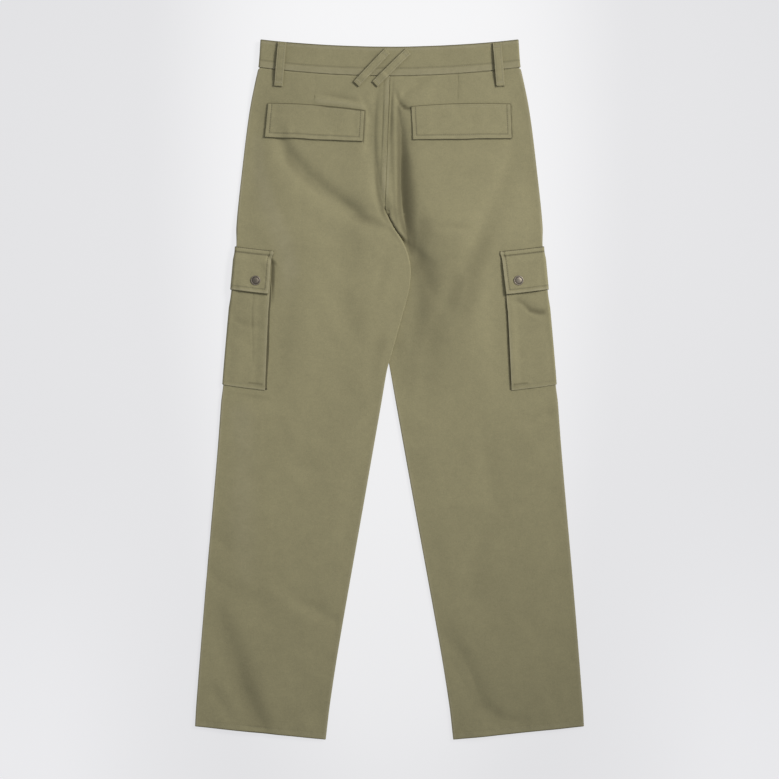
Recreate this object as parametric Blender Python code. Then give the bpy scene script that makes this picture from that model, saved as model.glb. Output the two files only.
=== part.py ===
"""Cargo pants laid flat on their front, with the back facing up.

Lengths are in metres. X runs across, Y along the legs with the waist at +Y, and Z is up from the
surface that the pants lie on, which is at 0. LEFT and RIGHT are the wearer's.
A "drop" is a distance below the top of the side seams, and a "reach" is a distance inwards from
the side edge of a leg.
"""
import math
from collections import namedtuple

import bpy
from mathutils import Vector
from mathutils.bvhtree import BVHTree

LEFT = -1
RIGHT = 1
SIDES = {"left": LEFT, "right": RIGHT}

# ---------------------------------------------------------------- driving sizes
LENGTH = 1.050
TOP = LENGTH / 2
GAP = 0.0003
CLOTH = 0.0010
FLAP_CLOTH = 0.0016
BAND_CLOTH = 0.0018
HEM_DEPTH = 0.0090
HEM_FOLD = 0.0008

BAND_SIDE_DROP = 0.0415
BAND_CENTRE_FALL = 0.0132
WAIST_CENTRE_FALL = 0.0113
HEM_SIDE_DROP = 1.0300
CENTRE_SHARE_POWER = 2.0

POCKET_REACH = {"left": 0.056, "right": 0.062}
POCKET_FRONT_REACH = 0.100
POCKET_TOP = 0.330
POCKET_BOTTOM = 0.517
POCKET_FLARE = 0.007
FLAP_TOP = 0.310
FLAP_BOTTOM = 0.375
FLAP_OVERHANG = 0.0020
GUSSET_TUCK = 0.0060
GUSSET_SHOWS = 0.0035

SNAP_RADIUS = 0.0073
SNAP_HEIGHT = 0.0020
SNAP_FRONT_HEIGHT = 0.0016
SNAP_FRONT_REACH = 0.080
BUTTON_RADIUS = 0.0085
BUTTON_HEIGHT = 0.0022

LOOP_CLOTH = 0.0012
LOOP_ARCH = 0.0010
LOOP_WIDTH = 0.0130
SLANT_LOOP_WIDTH = 0.0120

FLY_LENGTH = 0.130
ZIP_WIDTH = 0.026
ZIP_CLOTH = 0.0009

# ---------------------------------------------------------------- tables of the cut


def table(columns, *rows):
    """Rows with named columns."""
    row_type = namedtuple("Row", columns)
    return [row_type(*row) for row in rows]


# half: distance from the centre line to the side edge, as the pants lie
SIDE_EDGE = table(
    "drop half",
    (0.000, 0.1935), (0.040, 0.1965), (0.061, 0.2010), (0.097, 0.2085), (0.133, 0.2140),
    (0.187, 0.2205), (0.259, 0.2283), (0.313, 0.2322), (0.385, 0.2388), (0.403, 0.2412),
    (0.493, 0.2492), (0.619, 0.2586), (0.835, 0.2774), (0.997, 0.2902), (1.030, 0.2921),
)

# x: the inner edge of each leg; the left thigh crosses over the right one below the seat seam
SEAM_TOP_X = 0.0009
SEAM_END_X = -0.0066
SEAM_END_DROP = 0.248
LEFT_INNER = table(
    "drop x",
    (0.254, -0.0075), (0.280, 0.0063), (0.306, 0.0219), (0.332, 0.0305), (0.349, 0.0321),
    (0.376, 0.0294), (0.421, 0.0174), (0.473, 0.0030), (0.493, -0.0030), (0.547, -0.0124),
    (0.691, -0.0376), (0.907, -0.0754), (0.997, -0.0892), (1.050, -0.0955),
)
RIGHT_INNER = table(
    "drop x",
    (0.262, -0.0066), (0.285, -0.0130), (0.315, -0.0210), (0.349, -0.0240), (0.398, -0.0200),
    (0.451, -0.0080), (0.493, 0.0002), (0.547, 0.0098), (0.691, 0.0357), (0.907, 0.0749),
    (0.997, 0.0893), (1.050, 0.0954),
)

# fall: how much lower a row is at the inner edge; bow: how early it falls, 1 for a straight row
ROW_SHAPE = table(
    "drop fall bow",
    (0.000, 0.0113, 2.0), (0.0415, 0.0132, 2.0), (0.310, 0.0150, 2.4), (0.520, 0.0165, 2.4),
    (0.760, 0.0185, 1.4), (1.030, 0.0200, 1.0),
)

ROW_DROPS = (
    0.0418, 0.062, 0.085, 0.112, 0.142, 0.172, 0.200, 0.222, 0.240, 0.256, 0.275, 0.293,
    FLAP_TOP, POCKET_TOP, 0.350, FLAP_BOTTOM, 0.402, 0.430, 0.465, POCKET_BOTTOM, 0.550,
    0.630, 0.740, 0.850, 0.960, 1.0205, 1.0211, HEM_SIDE_DROP,
)
SIDE_COLUMNS = (0.017, 0.036, 0.078, 0.104)
INNER_COLUMNS = (0.008, 0.024, 0.040, 0.064)
FLAT_END = (0.0, 0.0015, 0.0035)

# folds of the back panels: a line from one end to the other, its half width and its height
Fold = namedtuple("Fold", "x drop x_end drop_end spread height")
FOLDS = {
    LEFT: [
        Fold(-0.160, 0.158, -0.030, 0.272, 0.020, -0.0016),
        Fold(-0.255, 0.866, -0.180, 1.000, 0.020, -0.0010),
        Fold(-0.150, 0.640, -0.085, 0.650, 0.020, -0.0008),
    ],
    RIGHT: [
        Fold(0.019, 0.112, 0.030, 0.320, 0.011, -0.0024),
        Fold(0.184, 0.158, 0.080, 0.406, 0.022, -0.0014),
        Fold(0.120, 0.915, 0.165, 1.000, 0.018, -0.0010),
    ],
}

# ---------------------------------------------------------------- slack between the panels
LEG_SLACK = 0.0018
POCKET_SLACK = 0.0008
WAIST_SLACK = 0.0035
SEAT_SLACK = 0.0034
CROSSING_SLACK = 0.0005
LEAST_SLACK = 0.0004
MOST_SLACK = 0.0037
HEM_SLACK = 0.0026
CROSSING_LIFT = 0.0031
WAIST_LIFT = BUTTON_HEIGHT + GAP
FRONT_FLAP_BASE = SNAP_FRONT_HEIGHT + GAP
FLAP_STACK = FRONT_FLAP_BASE + FLAP_CLOTH + GAP
POCKET_STACK = CLOTH + GAP


def smooth(value, start, end):
    """0 up to start and 1 from end on, with a soft S between them."""
    part = min(max((value - start) / (end - start), 0.0), 1.0)
    return part * part * (3 - 2 * part)


def plateau(value, start, end, fade):
    """1 from start to end, fading away over the length fade outside them."""
    return smooth(value, start - fade, start) * (1 - smooth(value, end, end + fade))


def mix(first, second, share):
    return first + (second - first) * share


def read(rows, drop, column):
    """A column of a table at any drop, on a smooth curve through the rows."""
    keys = [row.drop for row in rows]
    values = [getattr(row, column) for row in rows]
    if drop <= keys[0]:
        return values[0]
    if drop >= keys[-1]:
        return values[-1]
    last = len(keys) - 1
    low = max(n for n in range(last) if keys[n] <= drop)

    def slope(n):
        before, after = max(n - 1, 0), min(n + 1, last)
        return (values[after] - values[before]) / (keys[after] - keys[before])

    span = keys[low + 1] - keys[low]
    part = (drop - keys[low]) / span
    rise = part * part * (3 - 2 * part)
    start_pull = part * (1 - part) ** 2 * span * slope(low)
    end_pull = part * part * (1 - part) * span * slope(low + 1)
    return mix(values[low], values[low + 1], rise) + start_pull - end_pull


# ---------------------------------------------------------------- the outline


def half_width(drop):
    return read(SIDE_EDGE, drop, "half")


def seam_x(drop):
    """The centre seam, which drifts to the wearer's left as it goes down."""
    share = (drop - BAND_SIDE_DROP) / (SEAM_END_DROP - BAND_SIDE_DROP)
    return mix(SEAM_TOP_X, SEAM_END_X, min(max(share, 0.0), 1.0))


def inner_edge(side, drop):
    """Where a leg ends towards the centre: at the seam in the seat, at its own fold below it."""
    seam = seam_x(drop) + side * GAP / 2
    rows = LEFT_INNER if side == LEFT else RIGHT_INNER
    if drop <= SEAM_END_DROP:
        return seam
    if drop < rows[0].drop:
        share = (drop - SEAM_END_DROP) / (rows[0].drop - SEAM_END_DROP)
        return mix(seam, rows[0].x, share)
    return read(rows, drop, "x")


def row_fall(drop, share):
    """How far a row has fallen at a share of the way from the side edge to the inner edge."""
    bow = read(ROW_SHAPE, drop, "bow")
    return read(ROW_SHAPE, drop, "fall") * (1 - (1 - share) ** bow)


def leg_width(side, drop):
    inner = inner_edge(side, drop + row_fall(drop, 1.0))
    return half_width(drop) - side * inner


# ---------------------------------------------------------------- heights


def wrap_inset(drop):
    """How far the leg's own edge lies inside the outline, under the pocket and the flap."""
    pocket = POCKET_STACK * plateau(drop, FLAP_TOP, POCKET_BOTTOM, 0.030)
    flap = 0.0008 * plateau(drop, FLAP_TOP, FLAP_BOTTOM, 0.030)
    return pocket + flap


def pocket_cover(reach, row_drop):
    """The front half of the cargo pocket lies under the leg: its height at a point."""
    over_flap = plateau(row_drop, FLAP_TOP, FLAP_BOTTOM, 0.026)
    over_flap *= 1 - smooth(reach, POCKET_FRONT_REACH + 0.004, 0.138)
    over_pocket = plateau(row_drop, FLAP_TOP, POCKET_BOTTOM, 0.036)
    over_pocket *= 1 - smooth(reach, POCKET_FRONT_REACH + 0.004, 0.142)
    return (FLAP_STACK * over_flap + POCKET_STACK) * over_pocket


def crossing_lift(x, drop):
    """The left thigh climbs over the right one."""
    across = smooth(x, -0.080, -0.030)
    along = smooth(drop, 0.192, 0.244) * (1 - smooth(drop, 0.500, 0.600))
    return CROSSING_LIFT * across * along


def under_leg(side, x, reach, drop, row_drop):
    """Height of the lowest face of the front panel."""
    height = WAIST_LIFT * (1 - smooth(row_drop, 0.050, 0.130))
    height += pocket_cover(reach, row_drop)
    if side == LEFT:
        height += crossing_lift(x, drop)
    return height


def fold_height(fold, x, drop):
    """A trough or ridge along its line, fading out softly past both ends."""
    start = Vector((fold.x, fold.drop))
    line = Vector((fold.x_end, fold.drop_end)) - start
    share = (Vector((x, drop)) - start).dot(line) / line.length_squared
    nearest = start + line * min(max(share, 0.0), 1.0)
    distance = (Vector((x, drop)) - nearest).length
    return fold.height * math.exp(-(distance / fold.spread) ** 2)


def slack(side, x, reach, drop, row_drop):
    """Air between the front panel and the back panel."""
    cargo = plateau(row_drop, FLAP_TOP, POCKET_BOTTOM, 0.040) * (1 - smooth(reach, 0.070, 0.120))
    height = mix(LEG_SLACK, POCKET_SLACK, cargo)
    seat = plateau(drop, 0.060, 0.230, 0.130) * smooth(reach, 0.012, 0.060)
    height += (SEAT_SLACK - height) * seat
    height += (WAIST_SLACK - height) * (1 - smooth(row_drop, BAND_SIDE_DROP, 0.110))
    height += (HEM_SLACK - height) * smooth(row_drop, 0.900, 1.000)
    height += sum(fold_height(fold, x, drop) for fold in FOLDS[side])
    if side == RIGHT:
        beside_seam = 1 - smooth(x, 0.006, 0.020)
        height += crossing_lift(x, drop) * beside_seam * (1 - smooth(drop, 0.222, 0.250))
        cover = smooth(drop, 0.222, 0.250) * (1 - smooth(drop, 0.490, 0.560))
        edge = inner_edge(LEFT, min(max(drop, 0.262), 0.493))
        cover *= 1 - smooth(x, edge + 0.014, edge + 0.050)
        height += (CROSSING_SLACK - height) * cover
    return min(max(height, LEAST_SLACK), MOST_SLACK)


# ---------------------------------------------------------------- the flattened tube of a leg

Point = namedtuple("Point", "key place normal")


def world(side, row_drop, reach, width, height):
    """The place of a point that lies on a row, a reach in from the side edge."""
    drop = row_drop + row_fall(row_drop, min(max(reach / width, 0.0), 1.0))
    return Vector((side * (half_width(row_drop) - reach), TOP - drop, height))


def levels(side, row_drop, reach, width):
    """Heights of the middle of the front panel's wall and of the back panel's wall."""
    x = side * (half_width(row_drop) - reach)
    drop = row_drop + row_fall(row_drop, min(max(reach / width, 0.0), 1.0))
    front = under_leg(side, x, reach, drop, row_drop) + CLOTH / 2
    return front, front + CLOTH + slack(side, x, reach, drop, row_drop)


def turned_edge(low, high, face):
    """Quarter turn from a flat panel to its seam: (distance out, height, normal out, normal up).
    The cut edge at the seam is level, half a gap from the middle."""
    radius = (high - low) / 2
    middle = (high + low) / 2
    seam = GAP / 2
    yield math.sqrt(radius ** 2 - seam ** 2), middle + face * seam, 1.0, 0.0
    for angle in (math.pi / 4, math.pi / 2):
        out, up = math.cos(angle), face * math.sin(angle)
        yield radius * out, middle + radius * up, out, up


def leg_side(side, row_drop, face):
    """One panel's row of points from the inner edge to the side edge. face is 1 for the back."""
    width = leg_width(side, row_drop)
    inner_drop = row_drop + row_fall(row_drop, 1.0)
    turn = smooth(inner_drop, 0.249, 0.262)
    points = []

    def add(reach, height, out, up):
        normal = Vector((-side * out, 0.0, up)).normalized()
        points.append(Point(-face * reach, world(side, row_drop, reach, width, height), normal))

    low, high = levels(side, row_drop, width - 0.004, width)
    centre = width - (high - low) / 2 - CLOTH / 2
    flat = high if face > 0 else low
    for flat_end, (out, height, out_n, up_n) in zip(FLAT_END, turned_edge(low, high, face)):
        reach = mix(width - flat_end, centre + out, turn)
        add(reach, mix(flat, height, turn), out_n * turn, mix(face, up_n, turn))
    columns = [width - column for column in INNER_COLUMNS]
    columns += [(width - INNER_COLUMNS[-1] + SIDE_COLUMNS[-1]) / 2]
    columns += reversed(SIDE_COLUMNS)
    for reach in columns:
        heights = levels(side, row_drop, reach, width)
        add(reach, heights[1] if face > 0 else heights[0], 0.0, face)
    low, high = levels(side, row_drop, 0.006, width)
    centre = wrap_inset(row_drop) + (high - low) / 2 + CLOTH / 2
    for out, height, out_n, up_n in reversed(list(turned_edge(low, high, face))):
        add(centre - out, height, -out_n, up_n)
    return points


def leg_ring(side, row_drop):
    """From the inner edge over the back panel, round the side edge and back along the front."""
    return leg_side(side, row_drop, 1) + leg_side(side, row_drop, -1)[::-1]


def between(ring, key):
    """The point of a ring at a key: minus its reach on the back, plus its reach on the front."""
    for near, far in zip(ring, ring[1:]):
        if near.key <= key <= far.key:
            share = (key - near.key) / (far.key - near.key)
            normal = near.normal.lerp(far.normal, share).normalized()
            return Point(key, near.place.lerp(far.place, share), normal)
    raise ValueError("no such key on the ring")


def stretch(ring, start, end, extra=()):
    """The part of a ring between two keys, with extra points at given keys."""
    inside = [point for point in ring if start < point.key < end]
    ends = [between(ring, key) for key in (start, *extra, end)]
    return sorted(inside + ends, key=lambda point: point.key)


# ---------------------------------------------------------------- solids


def finish(name, mesh_data, colour, metallic=0.0, roughness=0.9):
    mesh = bpy.data.meshes.new(name)
    mesh.from_pydata(*mesh_data)
    material = bpy.data.materials.new(name)
    material.use_nodes = True
    shader = material.node_tree.nodes["Principled BSDF"]
    shader.inputs["Base Color"].default_value = (*colour, 1.0)
    shader.inputs["Roughness"].default_value = roughness
    shader.inputs["Metallic"].default_value = metallic
    mesh.materials.append(material)
    piece = bpy.data.objects.new(name, mesh)
    bpy.context.collection.objects.link(piece)
    return piece


def wall(name, outer, inner, colour, **surface):
    """A closed solid between two matching grids of points. The outer grid's rows run so that
    its faces look away from the inner grid."""
    rows, columns = len(outer), len(outer[0])
    points = [point for grid in (outer, inner) for row in grid for point in row]

    def index(layer, row, column):
        return layer * rows * columns + row * columns + column

    faces = []

    def quad(a, b, c, d):
        faces.append((a, b, c))
        faces.append((a, c, d))

    for row in range(rows - 1):
        for column in range(columns - 1):
            corners = ((row, column), (row + 1, column), (row + 1, column + 1), (row, column + 1))
            top = [index(0, *corner) for corner in corners]
            low = [index(1, *corner) for corner in corners]
            quad(*top)
            faces.append((low[2], low[1], low[0]))
            faces.append((low[3], low[2], low[0]))
    for row in range(rows - 1):
        quad(index(0, row, 0), index(1, row, 0), index(1, row + 1, 0), index(0, row + 1, 0))
        end = columns - 1
        quad(index(0, row + 1, end), index(1, row + 1, end), index(1, row, end), index(0, row, end))
    for column in range(columns - 1):
        quad(index(0, 0, column + 1), index(1, 0, column + 1), index(1, 0, column),
             index(0, 0, column))
        end = rows - 1
        quad(index(0, end, column), index(1, end, column), index(1, end, column + 1),
             index(0, end, column + 1))
    volume = sum(points[a].dot(points[b].cross(points[c])) for a, b, c in faces)
    if volume < 0:
        faces = [tuple(reversed(face)) for face in faces]
    return finish(name, (points, [], faces), colour, **surface)


def cloth_wall(name, rows, colour, outside, inside):
    """A wall along rows of middle points: outside and inside give how far each face is moved."""
    outer = [[p.place + p.normal * outside(n, p) for p in row] for n, row in enumerate(rows)]
    inner = [[p.place - p.normal * inside(n, p) for p in row] for n, row in enumerate(rows)]
    return wall(name, outer, inner, colour)


def turned_disc(name, centre, radius, height, colour, sides=16, up=1, **surface):
    """A low cap with a rounded shoulder and a flat foot."""
    rings = ((1.0, 0.0), (1.0, 0.45), (0.86, 0.85), (0.50, 1.0))
    points = [Vector(centre)]
    for share, rise in rings:
        for step in range(sides):
            angle = 2 * math.pi * step / sides
            offset = Vector((math.cos(angle), math.sin(angle), 0.0)) * radius * share
            points.append(Vector(centre) + offset + Vector((0, 0, up * rise * height)))
    points.append(Vector(centre) + Vector((0, 0, up * height)))
    faces = []
    for step in range(sides):
        after = (step + 1) % sides
        faces.append((0, 1 + after, 1 + step))
        for ring in range(len(rings) - 1):
            low = 1 + ring * sides
            high = low + sides
            faces.append((low + step, low + after, high + after))
            faces.append((low + step, high + after, high + step))
        last = 1 + (len(rings) - 1) * sides
        faces.append((last + step, last + after, len(points) - 1))
    if up < 0:
        faces = [tuple(reversed(face)) for face in faces]
    return finish(name, (points, [], faces), colour, **surface)


# ---------------------------------------------------------------- colours, in linear light
TWILL = (0.245, 0.225, 0.138)
TWILL_DARK = (0.150, 0.136, 0.082)
BRONZE = (0.120, 0.105, 0.085)
TAPE = (0.190, 0.175, 0.110)


# ---------------------------------------------------------------- panels


def hem_fold(row):
    """The turned-up hem makes the wall thicker on the inside."""
    return HEM_FOLD if ROW_DROPS[row] > HEM_SIDE_DROP - HEM_DEPTH else 0.0


def make_panels():
    for word, side in SIDES.items():
        for name, face in (("back_panel_", 1), ("front_panel_", -1)):
            rows = [leg_side(side, drop, face) for drop in ROW_DROPS]
            cloth_wall(name + word, rows, TWILL,
                       lambda row, point: CLOTH / 2,
                       lambda row, point: CLOTH / 2 + hem_fold(row))


# ---------------------------------------------------------------- cargo pockets


def pocket_reach(word, drop):
    share = (drop - POCKET_TOP) / (POCKET_BOTTOM - POCKET_TOP)
    return POCKET_REACH[word] + POCKET_FLARE * min(max(share, 0.0), 1.0)


def pocket_offset(word, drop, point):
    """Middle of the pocket's wall above the middle of the leg's, raised over the gusset."""
    reach = pocket_reach(word, drop)
    edge = smooth(-point.key, reach - 0.018, reach - GUSSET_TUCK - 0.001)
    return CLOTH / 2 + GAP + CLOTH / 2 + edge * (CLOTH + GAP)


def moved(points, move):
    return [Point(p.key, p.place + p.normal * move(p), p.normal) for p in points]


def make_cargo(word, side):
    pocket_rows = []
    flap_rows = []
    gusset_rows = []
    for drop in ROW_DROPS:
        ring = leg_ring(side, drop)
        reach = pocket_reach(word, drop)
        tuck = (-(reach - GUSSET_TUCK - 0.001),)
        if POCKET_TOP <= drop <= POCKET_BOTTOM:
            points = stretch(ring, -reach, POCKET_FRONT_REACH, tuck)
            pocket_rows.append(moved(points, lambda p: pocket_offset(word, drop, p)))
            strip = stretch(ring, -(reach + GUSSET_SHOWS), -(reach - GUSSET_TUCK))
            gusset_rows.append(moved(strip, lambda p: CLOTH + GAP))
        if FLAP_TOP <= drop <= FLAP_BOTTOM:
            points = stretch(ring, -(reach + FLAP_OVERHANG), POCKET_FRONT_REACH, tuck)
            over_pocket = drop > FLAP_TOP

            def flap_offset(point):
                if not over_pocket:
                    return CLOTH / 2 + GAP + FLAP_CLOTH / 2
                below = pocket_offset(word, drop, point)
                return below + CLOTH / 2 + GAP + FLAP_CLOTH / 2

            flap_rows.append(moved(points, flap_offset))
    half_cloth = (lambda row, point: CLOTH / 2,) * 2
    half_flap = (lambda row, point: FLAP_CLOTH / 2,) * 2
    cloth_wall("cargo_gusset_" + word, gusset_rows, TWILL_DARK, *half_cloth)
    cloth_wall("cargo_pocket_" + word, pocket_rows, TWILL, *half_cloth)
    cloth_wall("cargo_flap_" + word, flap_rows, TWILL, *half_flap)


# ---------------------------------------------------------------- waistband

BAND_LOW = WAIST_LIFT + BAND_CLOTH / 2
BAND_HIGH = BAND_LOW + 2 * (BAND_CLOTH + GAP)
LAP_LEVEL = BAND_LOW + BAND_CLOTH + GAP
LAP_END = 0.022
UNDERLAP_END = -0.020
UNDERLAP_STEP = (0.025, 0.037)
BAND_ROWS = (0.0, 0.35, 0.7, 1.0)


def band_path(half):
    """The waistband's loop at one height: (x, z, normal x, normal z), lapped at the front."""
    radius = (BAND_HIGH - BAND_LOW) / 2
    middle = (BAND_HIGH + BAND_LOW) / 2
    centre = half - radius - BAND_CLOTH / 2
    spots = (0.25, 0.55, 0.85, 1.0)
    path = [(LAP_END, BAND_LOW, 0.0, -1.0)]
    path += [(mix(LAP_END, -centre, spot), BAND_LOW, 0.0, -1.0) for spot in spots]
    for angle in (225, 180, 135):
        out, up = math.cos(math.radians(angle)), math.sin(math.radians(angle))
        path.append((-centre + radius * out, middle + radius * up, out, up))
    for step in range(13):
        path.append((centre * (step / 6 - 1), BAND_HIGH, 0.0, 1.0))
    for angle in (45, 0, -45):
        out, up = math.cos(math.radians(angle)), math.sin(math.radians(angle))
        path.append((centre + radius * out, middle + radius * up, out, up))
    near, far = UNDERLAP_STEP
    path += [(mix(far, centre, spot), BAND_LOW, 0.0, -1.0) for spot in reversed((0.0, *spots))]
    path += [(near, LAP_LEVEL, 0.0, -1.0), (UNDERLAP_END, LAP_LEVEL, 0.0, -1.0)]
    return path


def band_drop(x, share):
    """Top edge at share 0, lower edge at share 1; both sag towards the centre."""
    centred = 1 - min(abs(x) / half_width(0.0), 1.0) ** CENTRE_SHARE_POWER
    top = WAIST_CENTRE_FALL * centred
    bottom = BAND_SIDE_DROP + BAND_CENTRE_FALL * centred
    return mix(top, bottom, share)


def make_waistband():
    rows = []
    for share in BAND_ROWS:
        half = half_width(BAND_SIDE_DROP * share)
        rows.append([
            Point(0.0, Vector((x, TOP - band_drop(x, share), z)), Vector((out, 0.0, up)))
            for x, z, out, up in band_path(half)
        ])
    half_band = (lambda row, point: BAND_CLOTH / 2,) * 2
    cloth_wall("waistband", rows, TWILL, *half_band)


# ---------------------------------------------------------------- pieces that lie on others


def surface_finder(names):
    """A function that gives the height of the top, or the underside, of the named pieces."""
    trees = []
    for name in names:
        mesh = bpy.data.objects[name].data
        points = [vertex.co for vertex in mesh.vertices]
        trees.append(BVHTree.FromPolygons(points, [p.vertices for p in mesh.polygons]))

    def height(x, y, up=1):
        found = []
        for tree in trees:
            for move in (-2 * GAP, 0.0, 2 * GAP):
                hit = tree.ray_cast(Vector((x + move, y + move, up)), Vector((0, 0, -up)))[0]
                if hit:
                    found.append(hit.z)
        return max(found) if up > 0 else min(found)

    return height


REST_GAP = GAP + 0.0002
FLAP_REST_GAP = GAP + 0.0003
LOOP_STEPS = (0.0, 0.12, 0.24, 0.42, 0.60, 0.80, 0.90, 1.0)

# start and end: the middle of each loop's upper and lower end
LOOPS = table(
    "name x drop x_end drop_end width",
    ("belt_loop_back_left", -0.1610, 0.0052, -0.1665, 0.0700, LOOP_WIDTH),
    ("belt_loop_back_right", 0.1605, 0.0060, 0.1660, 0.0700, LOOP_WIDTH),
    ("belt_loop_slant_left", -0.0036, 0.0185, -0.0510, 0.0672, SLANT_LOOP_WIDTH),
    ("belt_loop_slant_right", 0.0285, 0.0185, -0.0230, 0.0672, SLANT_LOOP_WIDTH),
)


def make_back_loops(height):
    """Strips turned under at both ends, which stand a little clear between them."""
    for loop in LOOPS:
        start = Vector((loop.x, TOP - loop.drop))
        line = Vector((loop.x_end, TOP - loop.drop_end)) - start
        across = Vector((-line.y, line.x)).normalized() * loop.width / 2
        outer = []
        inner = []
        for share in LOOP_STEPS:
            middle = start + line * share
            spots = [middle - across, middle, middle + across]
            rest = max(height(spot.x, spot.y) for spot in spots) + REST_GAP
            arch = LOOP_ARCH * plateau(share, 0.24, 0.80, 0.10)
            inner.append([Vector((spot.x, spot.y, rest + arch)) for spot in spots])
            top = rest + LOOP_ARCH + LOOP_CLOTH
            outer.append([Vector((spot.x, spot.y, top)) for spot in spots])
        wall(loop.name, outer, inner, TWILL)


FRONT_LOOP_X = 0.100
FRONT_LOOP_DROPS = (0.0120, 0.0300, 0.0480, 0.0600, 0.0720)


def make_front_loops(height):
    """Plain loops between the surface and the front of the waistband."""
    for word, side in SIDES.items():
        outer = []
        inner = []
        for drop in FRONT_LOOP_DROPS:
            spots = [side * FRONT_LOOP_X + offset * LOOP_WIDTH for offset in (-0.5, 0.0, 0.5)]
            rest = min(height(x, TOP - drop, -1) for x in spots) - GAP
            inner.append([Vector((x, TOP - drop, rest)) for x in spots])
            outer.append([Vector((x, TOP - drop, rest - LOOP_CLOTH)) for x in spots])
        wall("belt_loop_front_" + word, outer, inner, TWILL)


# corners of each seat flap: upper outer, upper inner, lower inner, lower outer
SEAT_FLAPS = {
    "left": ((-0.1820, 0.0952), (-0.0366, 0.1066), (-0.0396, 0.1540), (-0.1873, 0.1464)),
    "right": ((0.1818, 0.0963), (0.0323, 0.1012), (0.0347, 0.1516), (0.1834, 0.1484)),
}
SEAT_FLAP_SAG = 0.0022
SEAT_FLAP_COLUMNS = 9
SEAT_FLAP_ROWS = 4


def make_seat_flaps(height):
    for word, corners in SEAT_FLAPS.items():
        upper_out, upper_in, lower_in, lower_out = (Vector(corner) for corner in corners)
        outer = []
        inner = []
        for row in range(SEAT_FLAP_ROWS + 1):
            down = row / SEAT_FLAP_ROWS
            spots = []
            for column in range(SEAT_FLAP_COLUMNS + 1):
                along = column / SEAT_FLAP_COLUMNS
                spot = upper_out.lerp(upper_in, along).lerp(lower_out.lerp(lower_in, along), down)
                sag = SEAT_FLAP_SAG * (1 - down) * 4 * along * (1 - along)
                spots.append((spot.x, TOP - spot.y + sag))
            rests = [height(x, y) + FLAP_REST_GAP for x, y in spots]
            inner.append([Vector((x, y, z)) for (x, y), z in zip(spots, rests)])
            outer.append([Vector((x, y, z + FLAP_CLOTH)) for (x, y), z in zip(spots, rests)])
        wall("seat_flap_" + word, outer, inner, TWILL)


def disc_height(height, x, y, radius, up=1):
    """The highest, or lowest, surface within a disc."""
    angles = [math.pi * step / 8 for step in range(16)]
    spots = [(x, y)] + [(x + radius * math.cos(a), y + radius * math.sin(a)) for a in angles]
    heights = [height(spot_x, spot_y, up) for spot_x, spot_y in spots]
    return max(heights) if up > 0 else min(heights)


SNAPS = {"left": (-0.2003, 0.3615), "right": (0.1931, 0.3615)}


def make_snaps():
    metal = {"metallic": 1.0, "roughness": 0.45}
    for word, side in SIDES.items():
        height = surface_finder(["cargo_flap_" + word])
        x, drop = SNAPS[word]
        foot = disc_height(height, x, TOP - drop, SNAP_RADIUS) + GAP
        turned_disc("cargo_snap_" + word, (x, TOP - drop, foot), SNAP_RADIUS, SNAP_HEIGHT,
                    BRONZE, **metal)
        x = side * (half_width(drop) - SNAP_FRONT_REACH)
        foot = disc_height(height, x, TOP - drop, SNAP_RADIUS, -1) - GAP
        turned_disc("cargo_snap_front_" + word, (x, TOP - drop, foot), SNAP_RADIUS, foot,
                    BRONZE, up=-1, **metal)


def make_closure():
    """The zip strip inside the fly, and the waist button under the lapped band."""
    height = surface_finder(["front_panel_left", "front_panel_right"])
    outer = []
    inner = []
    start = BAND_SIDE_DROP + BAND_CENTRE_FALL + 0.002
    for step in range(6):
        drop = start + FLY_LENGTH * step / 5
        spots = [offset * ZIP_WIDTH for offset in (-0.5, -0.1, 0.1, 0.5)]
        rest = max(height(x, TOP - drop) for x in spots) + REST_GAP
        inner.append([Vector((x, TOP - drop, rest)) for x in spots])
        outer.append([Vector((x, TOP - drop, rest + ZIP_CLOTH)) for x in spots])
    wall("fly_zip", outer, inner, TAPE)
    button_drop = band_drop(0.0, 0.5)
    turned_disc("waist_button", (0.0, TOP - button_drop, BUTTON_HEIGHT), BUTTON_RADIUS,
                BUTTON_HEIGHT, TWILL_DARK, up=-1, roughness=0.5)


def main():
    for item in list(bpy.data.objects):
        bpy.data.objects.remove(item, do_unlink=True)
    make_panels()
    make_waistband()
    for word, side in SIDES.items():
        make_cargo(word, side)
    height = surface_finder(["waistband", "back_panel_left", "back_panel_right"])
    make_back_loops(height)
    make_seat_flaps(height)
    make_front_loops(surface_finder(["waistband", "front_panel_left", "front_panel_right"]))
    make_snaps()
    make_closure()


main()
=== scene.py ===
# %% [markdown]
# # Cargo pants, laid flat on their front
# The pants lie on a table with the back up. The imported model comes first: it is the fixed frame
# that every piece of cloth, stitch and snap is placed in. Lengths are in metres, X runs across,
# Y runs up the legs to the waist and Z is up from the table.

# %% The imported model
import math

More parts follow.
